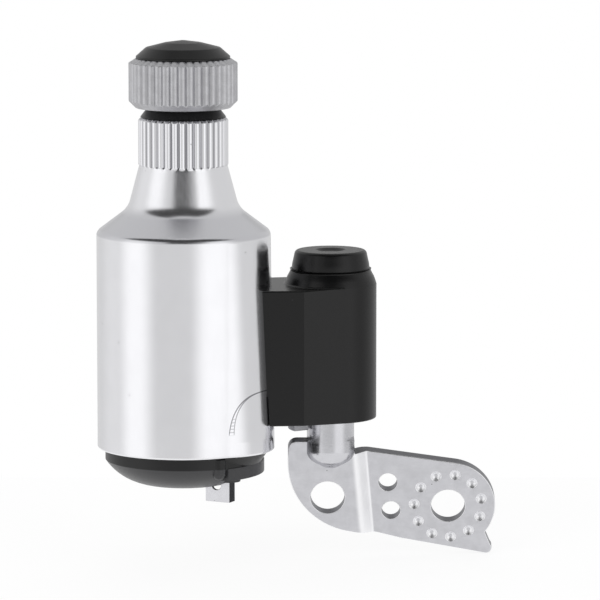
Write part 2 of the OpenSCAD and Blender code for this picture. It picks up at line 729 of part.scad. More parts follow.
// Rotor: shaft, hub and magnet below, roller with nut and cap on top
thrust_t = 0.5;
clip_z = magnet_z - 1.9;
module rotor_shaft() {
    shoulder_r = shaft_r + 1.2;
    color("silver") at_can() difference() {
        union() {
            translate([0, 0, clip_z - 1]) cylinder(r = shaft_r, h = roller_z - clip_z + 1);
            translate([0, 0, magnet_z + magnet_h + 0.6])
                cylinder(r = shoulder_r, h = bore_z - thrust_t - 2 * seat - magnet_z - magnet_h - 0.6);
            translate([0, 0, roller_z - 1]) cylinder(r = thread_r, h = web_t + 6.2);
        }
        tube(shaft_r + 1, shaft_r - 0.4, clip_z, clip_z + clip_t);
    }
}
module thrust_washer() { color("ivory") at_can()
    tube(shaft_r + 1.8, shaft_r + running, bore_z - thrust_t - seat, bore_z - seat); }
module magnet_hub() {
    color("#3a3a3c") at_can() {
        tube(hub_r - running, shaft_r + running, magnet_z - 0.9, magnet_z + magnet_h + 0.5);
        tube(hub_r + 2.5, shaft_r + running, magnet_z - 1, magnet_z - slip);
    }
}
module magnet_ring() { color("#3c3c42") at_can() tube(magnet_r, hub_r, magnet_z, magnet_z + magnet_h); }
module rotor_clip() {
    color("dimgray") at_can() difference() {
        tube(shaft_r + 1.3, shaft_r - 0.35, clip_z + seat / 2, clip_z + clip_t - seat / 2);
        sector(-clip_gap, clip_gap, 12, clip_z - 1, clip_z + clip_t + 1);
    }
}
module drive_roller() {
    bevel = 1.7;
    brow_h = 1.1;
    brow = (roller_r - cap_r - seat) / brow_h;
    rib_r = 0.95;
    recess_r = cap_r - 1.4;
    color("#a8a8ac") at_can() translate([0, 0, roller_z]) difference() {
        intersection() {
            cylinder(r1 = roller_r - bevel, r2 = roller_r - bevel + roller_h, h = roller_h);
            cylinder(r1 = cap_r + seat + brow * roller_h, r2 = cap_r + seat, h = roller_h);
            union() {
                cylinder(r = roller_r - rib_depth, h = roller_h);
                for (i = [0:ribs - 1]) rotate(360 * i / ribs)
                    translate([roller_r - rib_r, 0, 0]) cylinder(r = rib_r, h = roller_h);
            }
        }
        translate([0, 0, -1]) cylinder(r = thread_r + running, h = web_t + 2);
        translate([0, 0, web_t]) cylinder(r = recess_r, h = roller_h);
    }
}
washer_t = 0.8;
nut_flats = 8;
nut_h = 4;
module roller_washer() {
    color("silver") at_can() tube(2 * thread_r, thread_r + running, roller_z + web_t,
        roller_z + web_t + washer_t);
}
module roller_nut() {
    color("silver") at_can() translate([0, 0, roller_z + web_t + washer_t + slip]) difference() {
        cylinder(r = nut_flats / 2 / cos(30), h = nut_h, $fn = 6);
        translate([0, 0, -1]) cylinder(r = thread_r + running, h = nut_h + 2);
    }
}
module roller_cap() {
    recess_r = cap_r - 1.4;
    crown_r = cap_r - 2.4;
    rim_h = 0.5;
    dome_r = 9;
    color("#1c1c1e") at_can() translate([0, 0, roller_top + slip]) rotate_extrude() polygon(concat(
        [[cap_r, 0], [cap_r, rim_h], [crown_r, cap_h * 0.6], [crown_r / 2, cap_h * 0.87]],
        arc([0, cap_h - dome_r], dome_r, 90 - 16, 90, 4),
        [[0, 2.2 - slip], [recess_r - 2, 0.6], [recess_r - 2, -4], [recess_r - slip, -4],
            [recess_r - slip, 0]]));
}

mounting_plate();
hinge_pin();
lock_collar();
pin_clip();
hinge_bracket();
hinge_cover();
hinge_bush_lower();
hinge_bush_upper();
torsion_spring();
release_button();
button_spring();
can_shell();
end_shield();
bush_upper();
bush_lower();
felt_ring();
claw_upper();
claw_lower();
yoke_ring();
coil_bobbin();
coil_winding();
coil_lead();
base_cover();
base_seal();
contact_bridge();
terminal_tab();
terminal_spring();
rotor_shaft();
thrust_washer();
magnet_hub();
magnet_ring();
rotor_clip();
drive_roller();
roller_washer();
roller_nut();
roller_cap();
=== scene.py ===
"""Bottle dynamo: the finish of every surface, and the fine surfaces that replace plain solids.

Sizes are millimetres in the classes and metres in Blender. The rotor and hinge axes, the heights
and the radii come from the boxes of the frame's nodes, so a changed frame carries the surfaces along.
"""

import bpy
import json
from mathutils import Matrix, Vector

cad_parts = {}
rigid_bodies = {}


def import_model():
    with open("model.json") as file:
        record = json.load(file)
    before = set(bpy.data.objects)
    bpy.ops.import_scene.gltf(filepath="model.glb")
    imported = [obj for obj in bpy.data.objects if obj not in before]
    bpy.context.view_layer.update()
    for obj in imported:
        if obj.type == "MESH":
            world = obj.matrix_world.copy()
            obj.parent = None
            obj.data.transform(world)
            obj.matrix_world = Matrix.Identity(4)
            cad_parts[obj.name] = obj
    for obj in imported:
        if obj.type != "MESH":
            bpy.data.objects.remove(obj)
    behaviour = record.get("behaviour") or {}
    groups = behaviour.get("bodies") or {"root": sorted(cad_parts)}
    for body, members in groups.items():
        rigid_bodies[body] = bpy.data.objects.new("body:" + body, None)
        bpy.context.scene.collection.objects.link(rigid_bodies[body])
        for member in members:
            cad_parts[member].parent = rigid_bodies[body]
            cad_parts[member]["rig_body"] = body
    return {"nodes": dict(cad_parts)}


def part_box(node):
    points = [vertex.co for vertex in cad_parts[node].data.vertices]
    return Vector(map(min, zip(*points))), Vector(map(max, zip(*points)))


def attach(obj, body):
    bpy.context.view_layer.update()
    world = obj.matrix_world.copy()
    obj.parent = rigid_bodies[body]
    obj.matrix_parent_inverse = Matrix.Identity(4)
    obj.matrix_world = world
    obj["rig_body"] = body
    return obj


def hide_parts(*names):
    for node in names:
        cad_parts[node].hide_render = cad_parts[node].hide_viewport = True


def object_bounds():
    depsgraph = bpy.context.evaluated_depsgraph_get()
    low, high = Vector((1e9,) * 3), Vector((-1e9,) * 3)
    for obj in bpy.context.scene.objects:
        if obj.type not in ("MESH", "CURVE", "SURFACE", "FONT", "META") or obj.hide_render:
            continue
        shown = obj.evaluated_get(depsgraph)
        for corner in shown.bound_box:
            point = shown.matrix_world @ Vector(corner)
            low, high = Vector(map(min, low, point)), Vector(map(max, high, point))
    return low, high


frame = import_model()
cad_box = [list(corner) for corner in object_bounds()]

import json
import logging
from dataclasses import dataclass, field
from enum import Enum
from math import acos, atan2, cos, hypot, pi, radians, sin, tan
from typing import Sequence, Union

import bmesh
import bpy
import numpy as np
from mathutils import Vector

log = logging.getLogger("dynamo")

MM = 0.001
FULL_TURN = 2 * pi
Corner = tuple[float, float, float]
Value = Union[float, tuple, bpy.types.NodeSocket, bpy.types.Node]
# A map range node with this setting is a soft step from 0 at its start to 1 at its end
SOFT = {"interpolation_type": "SMOOTHSTEP"}


# Shared tools

def linear(colour: str) -> tuple[float, float, float, float]:
    """Turns an sRGB hex colour such as "#c8c8cc" into linear RGBA."""
    values = [int(colour[i:i + 2], 16) / 255 for i in (1, 3, 5)]
    return tuple(v / 12.92 if v <= 0.04045 else ((v + 0.055) / 1.055) ** 2.4 for v in values) + (1.0,)


def add_node(tree: bpy.types.NodeTree, kind: str, inputs: Union[dict, Sequence[Value]] = (),
             **settings: object) -> bpy.types.Node:
    """Adds a node, sets its attributes and fills its sockets.

    Args:
        tree: The node tree that gets the node.
        kind: The node's type, or in capitals the operation of a math node, such as "ADD".
        inputs: Constants, sockets, or nodes whose first output counts. They stand in the order of the
            sockets, or in a dictionary under a socket's name or number.
        settings: Attributes of the node.

    Returns:
        The new node.
    """
    if kind.isupper():
        kind, settings["operation"] = "ShaderNodeMath", kind
    node = tree.nodes.new(kind)
    for key, value in settings.items():
        setattr(node, key, value)
    for key, value in (inputs if isinstance(inputs, dict) else dict(enumerate(inputs))).items():
        value = value.outputs[0] if isinstance(value, bpy.types.Node) else value
        if isinstance(value, bpy.types.NodeSocket):
            tree.links.new(value, node.inputs[key])
        else:
            node.inputs[key].default_value = value
    return node


def band(tree: bpy.types.NodeTree, value: Value, rise: tuple[float, float],
         fall: tuple[float, float]) -> bpy.types.Node:
    """A share that is 1 inside a band of values and 0 outside it.

    Args:
        tree: The node tree that gets the nodes.
        value: What is looked at.
        rise: Where the share starts to rise and where it has reached 1.
        fall: Where it has fallen to 0 and where it starts to fall.

    Returns:
        The node that gives the share.
    """
    steps = [add_node(tree, "ShaderNodeMapRange", (value, *ends), **SOFT) for ends in (rise, fall)]
    return add_node(tree, "MULTIPLY", steps)


def box_mm(node: str) -> tuple[np.ndarray, np.ndarray]:
    """Lowest and highest corner of a node of the frame, in millimetres."""
    low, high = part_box(node)
    return np.array(low) / MM, np.array(high) / MM


def axis_of(node: str) -> np.ndarray:
    """Where the upright axis of a round node stands, as (x, y, 0) in millimetres."""
    low, high = box_mm(node)
    return np.array([(low[0] + high[0]) / 2, (low[1] + high[1]) / 2, 0.0])


def rounded(corners: Sequence[Corner], steps: int = 6, guard: float = 0.12) -> np.ndarray:
    """Profile through (r, z, radius) corners, each corner turned into an arc of its radius.

    An arc meets both of its sides at the distance radius * tan(turn / 2) from the corner. A guard
    row stands just outside each end of an arc, so that smooth shading stays within the arc.

    Args:
        corners: The corner points, from the profile's start to its end.
        steps: Rows in each arc.
        guard: Distance of the guard rows from the arc, in millimetres.

    Returns:
        The profile as an array of (r, z) rows.
    """
    points = [np.array(corners[0][:2])]
    for before, here, after in zip(corners, corners[1:], corners[2:]):
        corner = np.array(here[:2])
        back, ahead = np.array(before[:2]) - corner, np.array(after[:2]) - corner
        back_len, ahead_len = hypot(*back), hypot(*ahead)
        back, ahead = back / back_len, ahead / ahead_len
        turn = pi - acos(np.clip(back @ ahead, -1, 1))
        if here[2] <= 0 or turn < 1e-4:
            points.append(corner)
            continue
        reach = min(here[2] * tan(turn / 2), 0.98 * back_len, 0.98 * ahead_len)
        radius = reach / tan(turn / 2)
        centre = corner + (back + ahead) / np.linalg.norm(back + ahead) * radius / cos(turn / 2)
        start = corner + back * reach
        side = 1.0 if back[0] * ahead[1] - back[1] * ahead[0] < 0 else -1.0
        angles = np.linspace(0, turn, steps + 1)
        first = atan2(*(start - centre)[::-1])
        points.append(start + back * min(guard, 0.3 * (back_len - reach)))
        angles = first + side * angles
        points.extend(centre + radius * np.stack([np.cos(angles), np.sin(angles)], 1))
        points.append(corner + ahead * (reach + min(guard, 0.3 * (ahead_len - reach))))
    points.append(np.array(corners[-1][:2]))
    return np.array(points)


def refined(profile: np.ndarray, step: float, low: float, high: float) -> np.ndarray:
    """The profile with extra rows, so that no row between two heights is longer than step.

    Args:
        profile: Rows of (r, z).
        step: Longest row that stays whole.
        low: Lowest height that is refined.
        high: Highest height that is refined.

    Returns:
        The profile with its extra rows.
    """
    rows = [profile[:1]]
    for a, b in zip(profile, profile[1:]):
        inside = low <= (a[1] + b[1]) / 2 <= high or min(a[1], b[1]) < low < max(a[1], b[1])
        count = max(1, int(np.ceil(hypot(*(b - a)) / step))) if inside else 1
        rows.append(a + (b - a) * np.linspace(0, 1, count + 1)[1:, None])
    return np.concatenate(rows)


def lathe(profile: np.ndarray, columns: int) -> np.ndarray:
    """Grid of a profile turned once round: x = r cos(t), y = r sin(t), z = z.

    Args:
        profile: Rows of (r, z).
        columns: Number of columns round the axis.

    Returns:
        The grid, as (rows, columns, 3).
    """
    turn = np.arange(columns) * FULL_TURN / columns
    radius, height = profile[:, :1], profile[:, 1:]
    return np.stack([radius * np.cos(turn), radius * np.sin(turn), height + 0 * turn], axis=2)


def bow(centre: tuple[float, float], radius: float, start: float, end: float, steps: int) -> np.ndarray:
    """Points on an arc about a centre, between two angles in degrees."""
    angle = np.radians(np.linspace(start, end, steps + 1))
    return np.array(centre) + radius * np.stack([np.cos(angle), np.sin(angle)], 1)


def quads(rows: int, columns: int, ring: bool = False) -> np.ndarray:
    """Faces between the rows of a grid whose columns run round and close on themselves.

    Args:
        rows: Number of rows.
        columns: Number of columns.
        ring: Joins the last row to the first.

    Returns:
        Four indices for each face, into the grid's points taken row after row.
    """
    below = np.arange(rows if ring else rows - 1)[:, None]
    column = np.arange(columns)[None, :]
    beside, above = (column + 1) % columns, (below + 1) % rows
    return np.stack([below * columns + column, below * columns + beside,
                     above * columns + beside, above * columns + column], axis=2).reshape(-1, 4)


def skin(name: str, grid: np.ndarray, ring: bool = False, sharp_deg: float = 40.0) -> bpy.types.Object:
    """Closed quad skin over a grid whose columns run round and close on themselves.

    Args:
        name: The new piece's name.
        grid: Points in millimetres, as (rows, columns, 3).
        ring: Joins the last row to the first. Otherwise each end is closed by a fan to its centre.
        sharp_deg: Edges that turn more than this stay sharp.

    Returns:
        The new object, with its place in its mesh.
    """
    rows, columns, _ = grid.shape
    points = grid.reshape(-1, 3)
    faces = quads(rows, columns, ring).tolist()
    if not ring:
        middle, last = len(points), (rows - 1) * columns
        points = np.concatenate([points, grid[:1].mean(axis=1), grid[-1:].mean(axis=1)])
        here = np.arange(columns)
        there = (here + 1) % columns
        faces += np.stack([there, here, np.full(columns, middle)], axis=1).tolist()
        faces += np.stack([last + here, last + there, np.full(columns, middle + 1)], axis=1).tolist()
    return piece(mesh_of(name, points * MM, faces), sharp_deg)


def mesh_of(name: str, points: np.ndarray, faces: list) -> bpy.types.Mesh:
    """New mesh from points and faces."""
    mesh = bpy.data.meshes.new(name)
    mesh.from_pydata(points.tolist(), [], faces)
    return mesh


def piece(mesh: bpy.types.Mesh, sharp_deg: float) -> bpy.types.Object:
    """Puts a mesh into the scene, smooth but for edges that turn more than sharp_deg.

    Args:
        mesh: The mesh, in its place.
        sharp_deg: Edges that turn more than this stay sharp.

    Returns:
        The new object, named as its mesh.
    """
    mesh.shade_smooth()
    mesh.set_sharp_from_angle(angle=radians(sharp_deg))
    made = bpy.data.objects.new(mesh.name, mesh)
    bpy.context.scene.collection.objects.link(made)
    return made


# Finishes

@dataclass(frozen=True)
class Finish:
    """A surface: what it is made of, how it was made, and the size of its texture.

    Attributes:
        slot: The record's material slot.
        colour: Base colour as sRGB hex.
        roughness: Mean roughness.
        metallic: 1 for bare metal.
        ior: Index of refraction of a non-metal; a metal keeps the default.
        grain_mm: Size of the surface's own texture.
        relief_mm: Height of that texture.
        stretch: How far the texture is drawn out along x, y and z.
        mottle: Share by which the colour wanders.
        mottle_mm: Size of the patches in which it wanders.
        uneven: Change of roughness between patches.
    """
    slot: str
    colour: str
    roughness: float
    metallic: float = 0.0
    ior: float = 1.5
    grain_mm: float = 0.4
    relief_mm: float = 0.006
    stretch: tuple[float, float, float] = (1.0, 1.0, 1.0)
    mottle: float = 0.08
    mottle_mm: float = 5.0
    uneven: float = 0.06

    def make(self) -> bpy.types.Material:
        """Builds the material's nodes: mottled colour, uneven gloss and grain in relief.

        Returns:
            The material.
        """
        material = bpy.data.materials.new(self.slot)
        material.use_nodes = True
        tree = material.node_tree
        shader = tree.nodes["Principled BSDF"]
        place = add_node(tree, "ShaderNodeTexCoord").outputs["Object"]
        scale = tuple(1 / (self.grain_mm * MM * drawn) for drawn in self.stretch)
        drawn = add_node(tree, "ShaderNodeMapping", {"Vector": place, "Scale": scale})
        grain = add_node(tree, "ShaderNodeTexNoise", {"Vector": drawn, "Scale": 1.0, "Detail": 3.0})
        patches = add_node(tree, "ShaderNodeTexNoise",
                           {"Vector": place, "Scale": 1 / (self.mottle_mm * MM), "Detail": 4.0,
                            "Roughness": 0.6})
        pale = linear(self.colour)
        dark = tuple(c * (1 - 2 * self.mottle) for c in pale[:3]) + (1.0,)
        spread = add_node(tree, "ShaderNodeMapRange", (patches, 0.35, 0.65))
        colour = add_node(tree, "ShaderNodeMix", {0: spread, 6: dark, 7: pale}, data_type="RGBA")
        gloss = add_node(tree, "ShaderNodeMapRange",
                         (grain, 0.3, 0.7, self.roughness - self.uneven, self.roughness + self.uneven))
        bump = add_node(tree, "ShaderNodeBump",
                        {"Height": grain, "Distance": self.relief_mm * MM, "Strength": 1.0})
        tree.links.new(self.tint(tree, place, colour.outputs[2]), shader.inputs["Base Color"])
        tree.links.new(self.polish(tree, place, gloss.outputs[0]), shader.inputs["Roughness"])
        tree.links.new(bump.outputs[0], shader.inputs["Normal"])
        shader.inputs["Metallic"].default_value = self.metallic
        if not self.metallic:
            shader.inputs["IOR"].default_value = self.ior
        return material

    def tint(self, tree: bpy.types.NodeTree, place: bpy.types.NodeSocket,
             colour: bpy.types.NodeSocket) -> bpy.types.NodeSocket:
        """Colour of the surface, mottled unless a finish adds marks."""
        return colour

    def polish(self, tree: bpy.types.NodeTree, place: bpy.types.NodeSocket,
               gloss: bpy.types.NodeSocket) -> bpy.types.NodeSocket:
        """Roughness of the surface, from the grain alone unless a finish changes it."""
        return gloss


@dataclass(frozen=True)
class Pitted(Finish):
    """A finish with small pits or specks strewn over it.

    Attributes:
        pit_mm: Size of a pit.
        pit_gap_mm: Mean distance between cells that may hold a pit.
        pit_share: Share of the cells that hold one.
        pit_colour: Colour in the pit.
    """
    pit_mm: float = 0.16
    pit_gap_mm: float = 1.5
    pit_share: float = 0.3
    pit_colour: str = "#6a6a6c"

    def tint(self, tree: bpy.types.NodeTree, place: bpy.types.NodeSocket,
             colour: bpy.types.NodeSocket) -> bpy.types.NodeSocket:
        """Darkens the colour inside the pits of a random share of Voronoi cells.

        Args:
            tree: The material's nodes.
            place: Object coordinates.
            colour: The colour so far.

        Returns:
            The new colour's socket.
        """
        cells = add_node(tree, "ShaderNodeTexVoronoi", {"Vector": place, "Scale": 1 / (self.pit_gap_mm * MM)})
        radius = self.pit_mm / 2 / self.pit_gap_mm
        inside = add_node(tree, "ShaderNodeMapRange", (cells.outputs["Distance"], radius, radius * 2, 1.0, 0.0))
        chosen = add_node(tree, "LESS_THAN", (cells.outputs["Color"], self.pit_share))
        mask = add_node(tree, "MULTIPLY", (inside, chosen))
        mixed = add_node(tree, "ShaderNodeMix", {0: mask, 6: colour, 7: linear(self.pit_colour)},
                         data_type="RGBA")
        return mixed.outputs[2]


@dataclass(frozen=True)
class Drawn(Pitted):
    """The can's metal: painted shade in the flutes and on the shoulder, and the terminal blister's outline.

    The outline is the curve (bearing / half_deg) ** 3 + (height / crest_mm) ** 3 = 1 round the
    blister. A second line follows inside it, and small folds lie between the two lines. Lines and
    folds are painted shade: a darker colour in place of the shade of the pressed creases.

    Attributes:
        axis_mm: Where the can's axis stands, and the height of its foot.
        bearing: Bearing of the blister, in degrees.
        half_deg: Half the width of the blister at the foot.
        crest_mm: Height of the blister.
        depth_mm: Length that stands for the whole curve's size, to turn its shares into a distance.
        second_mm: How far inside the second line starts, and its share of the first line's colour.
        fold_mm: Height of a fold, and the height above the foot where the folds end.
        bare_mm: Height above the foot below which no line shows.
        line_mm: Width of a line.
        flute_mm: Height of the flutes above the foot, their floor's and their crest's radius.
        crease_shade_colour: Painted shade colour in a line, where the pressed crease would shade.
        flute_shade_colour: Painted shade colour of the flutes' floor.
        cone_mm: Heights above the foot between which the shoulder is satin (rougher) and painted darker as
            painted shade.
        shoulder_shade_colour: Painted shade colour of the shoulder.
        cone_dull: How much rougher the shoulder and the flare are than the side.
    """
    axis_mm: tuple[float, float, float] = (0.0, 0.0, 0.0)
    bearing: float = -27.0
    half_deg: float = 31.5
    crest_mm: float = 15.8
    line_mm: float = 0.14
    flute_mm: tuple[float, float, float] = (70.2, 10.6, 11.05)
    crease_shade_colour: str = "#88888c"
    flute_shade_colour: str = "#b2b2b6"
    cone_mm: tuple[float, float] = (53.0, 59.5)
    shoulder_shade_colour: str = "#d6d6da"
    cone_dull: float = 0.05
    depth_mm: float = 12.0
    second_mm: tuple[float, float] = (1.9, 0.8)
    fold_mm: tuple[float, float] = (0.8, 10.0)
    bare_mm: float = 6.0

    def placed(self, tree: bpy.types.NodeTree, place: bpy.types.NodeSocket) -> list[bpy.types.Node]:
        """Distance from the axis, turn round it and height above the foot, in mm and radians.

        Args:
            tree: The material's nodes.
            place: Object coordinates.

        Returns:
            The three nodes that give them.
        """
        split = add_node(tree, "ShaderNodeSeparateXYZ", (place,))
        x, y, z = [add_node(tree, "SUBTRACT", (add_node(tree, "DIVIDE", (length, MM)), foot))
                   for length, foot in zip(split.outputs, self.axis_mm)]
        squares = [add_node(tree, "MULTIPLY", (side, side)) for side in (x, y)]
        radius = add_node(tree, "SQRT", (add_node(tree, "ADD", squares),))
        return [radius, add_node(tree, "ARCTAN2", (y, x)), z]

    def lines(self, tree: bpy.types.NodeTree, place: bpy.types.NodeSocket) -> bpy.types.Node:
        """Mask of the outline's two lines and of the folds between them, where painted shade goes.

        Args:
            tree: The material's nodes.
            place: Object coordinates.

        Returns:
            The node that gives the mask.
        """
        _, turn, height = self.placed(tree, place)
        bearing = add_node(tree, "SUBTRACT", (turn, radians(self.bearing)))
        across = add_node(tree, "DIVIDE", (add_node(tree, "ABSOLUTE", (bearing,)), radians(self.half_deg)))
        share = add_node(tree, "MAXIMUM", (add_node(tree, "DIVIDE", (height, self.crest_mm)), 0.0))
        cubes = [add_node(tree, "POWER", (side, 3.0)) for side in (across, share)]
        size = add_node(tree, "POWER", (add_node(tree, "ADD", cubes), 1 / 3))
        depth = add_node(tree, "MULTIPLY", (add_node(tree, "SUBTRACT", (1.0, size)), self.depth_mm))
        inset, faint = self.second_mm
        apart = add_node(tree, "MULTIPLY", (add_node(tree, "SUBTRACT", (1.0, share)), inset))
        deeper = add_node(tree, "SUBTRACT", (depth, apart))
        outer, inner = [add_node(tree, "ShaderNodeMapRange", (add_node(tree, "ABSOLUTE", (line,)),
                                                              self.line_mm, self.line_mm * core), **SOFT)
                        for line, core in ((depth, 1 / 2), (deeper, 1 / 3))]
        # The two crease lines and the folds between them get painted shade
        both = add_node(tree, "MAXIMUM", (outer, add_node(tree, "MULTIPLY", (inner, faint))))
        pitch, fold_top = self.fold_mm
        wave = add_node(tree, "SINE", (add_node(tree, "MULTIPLY", (height, FULL_TURN / pitch)),))
        masks = ((wave, 0.3, 0.95), (depth, 0.0, 0.15), (deeper, 0.15, 0.0),
                 (height, fold_top + 0.5, fold_top - 0.5))
        folds: Value = 0.5
        for ends in masks:
            step = add_node(tree, "ShaderNodeMapRange", ends, **SOFT)
            folds = add_node(tree, "MULTIPLY", (folds, step))
        shown = add_node(tree, "ShaderNodeMapRange", (height, self.bare_mm - 0.4, self.bare_mm + 0.4), **SOFT)
        return add_node(tree, "MULTIPLY", (add_node(tree, "MAXIMUM", (both, folds)), shown))

    def tint(self, tree: bpy.types.NodeTree, place: bpy.types.NodeSocket,
             colour: bpy.types.NodeSocket) -> bpy.types.NodeSocket:
        """Adds painted shade: the blister's lines, between the flutes and on the satin shoulder.

        Args:
            tree: The material's nodes.
            place: Object coordinates.
            colour: The colour so far.

        Returns:
            The new colour's socket.
        """
        colour = super().tint(tree, place, colour)
        radius, _, height = self.placed(tree, place)
        flute_z, floor_r, crest_r = self.flute_mm
        # Painted shade on the flutes' floor, darker from the crests down to the floor
        deep = add_node(tree, "ShaderNodeMapRange", (radius, crest_r, floor_r), **SOFT)
        high = add_node(tree, "ShaderNodeMapRange", (height, flute_z, flute_z + 0.4), **SOFT)
        flute_shade = add_node(tree, "MULTIPLY", (deep, high))
        # Painted shade on the shoulder band
        low, high = self.cone_mm
        cone = band(tree, height, (low, low + 0.6), (high + 1.5, high - 1.5))
        # Painted shade: crease lines and folds, the flutes' floor and the shoulder
        for mask, over in ((self.lines(tree, place), self.crease_shade_colour), (flute_shade, self.flute_shade_colour),
                           (cone, self.shoulder_shade_colour)):
            colour = add_node(tree, "ShaderNodeMix", {0: mask, 6: colour, 7: linear(over)},
                              data_type="RGBA").outputs[2]
        return colour

    def polish(self, tree: bpy.types.NodeTree, place: bpy.types.NodeSocket,
               gloss: bpy.types.NodeSocket) -> bpy.types.NodeSocket:
        """Rougher on the shoulder and the flare than on the side.

        Args:
            tree: The material's nodes.
            place: Object coordinates.
            gloss: The roughness so far.

        Returns:
            The new roughness's socket.
        """
        height, low, high = self.placed(tree, place)[2], self.cone_mm[0], self.flute_mm[0]
        share = band(tree, height, (low, low + 0.6), (high, high - 1.0))
        dull = add_node(tree, "MULTIPLY", (share, self.cone_dull))
        return add_node(tree, "ADD", (gloss, dull)).outputs[0]


@dataclass(frozen=True)
class PaintedPaleBelow(Finish):
    """A dark plastic painted paler below a line, as painted light on the downward faces.

    Attributes:
        line_mm: Height of the line.
        painted_light_colour: Colour below it, painted light.
    """
    line_mm: float = 0.0
    painted_light_colour: str = "#3c3c3e"

    def tint(self, tree: bpy.types.NodeTree, place: bpy.types.NodeSocket,
             colour: bpy.types.NodeSocket) -> bpy.types.NodeSocket:
        """Mixes in the painted light below the line.

        Args:
            tree: The material's nodes.
            place: Object coordinates.
            colour: The colour so far.

        Returns:
            The new colour's socket.
        """
        # Painted light: a paler colour below the line
        height = add_node(tree, "ShaderNodeSeparateXYZ", (place,)).outputs[2]
        ends = (self.line_mm + 0.15) * MM, (self.line_mm - 0.25) * MM
        share = add_node(tree, "ShaderNodeMapRange", (height, *ends), **SOFT)
        mixed = add_node(tree, "ShaderNodeMix", {0: share, 6: colour, 7: linear(self.painted_light_colour)},
                         data_type="RGBA")
        return mixed.outputs[2]


@dataclass(frozen=True)
class FacingShaded(Pitted):
    """Bright sheet metal with painted shade on its cut edges and a painted highlight on its bends.

    Attributes:
        facing: Direction that the flat faces look in.
        edge_shade_colour: Painted shade colour of the cut edges.
        bend_highlight_colour: Painted highlight colour of the bend.
    """
    facing: tuple[float, float, float] = (0.0, -0.974, -0.225)
    edge_shade_colour: str = "#8a8a8e"
    bend_highlight_colour: str = "#fafafc"

    def tint(self, tree: bpy.types.NodeTree, place: bpy.types.NodeSocket,
             colour: bpy.types.NodeSocket) -> bpy.types.NodeSocket:
        """Mixes in painted shade on the cut edges and a painted highlight on the bend, by the way the surface
        faces.

        Args:
            tree: The material's nodes.
            place: Object coordinates.
            colour: The colour so far.

        Returns:
            The new colour's socket.
        """
        colour = super().tint(tree, place, colour)
        normal = add_node(tree, "ShaderNodeTexCoord").outputs["Normal"]
        facing = add_node(tree, "ShaderNodeVectorMath", (normal, self.facing), operation="DOT_PRODUCT")
        flat = add_node(tree, "ABSOLUTE", (facing.outputs["Value"],))
        # Painted highlight where the surface turns part way from the flat faces, painted shade where it turns
        # far
        bend = band(tree, flat, (0.5, 0.6), (0.97, 0.85))
        cut = add_node(tree, "ShaderNodeMapRange", (flat, 0.5, 0.3), **SOFT)
        for mask, over in ((bend, self.bend_highlight_colour), (cut, self.edge_shade_colour)):
            colour = add_node(tree, "ShaderNodeMix", {0: mask, 6: colour, 7: linear(over)},
                              data_type="RGBA").outputs[2]
        return colour


CAN_FOOT = (*axis_of("roller_cap")[:2], box_mm("can_shell")[0][2])


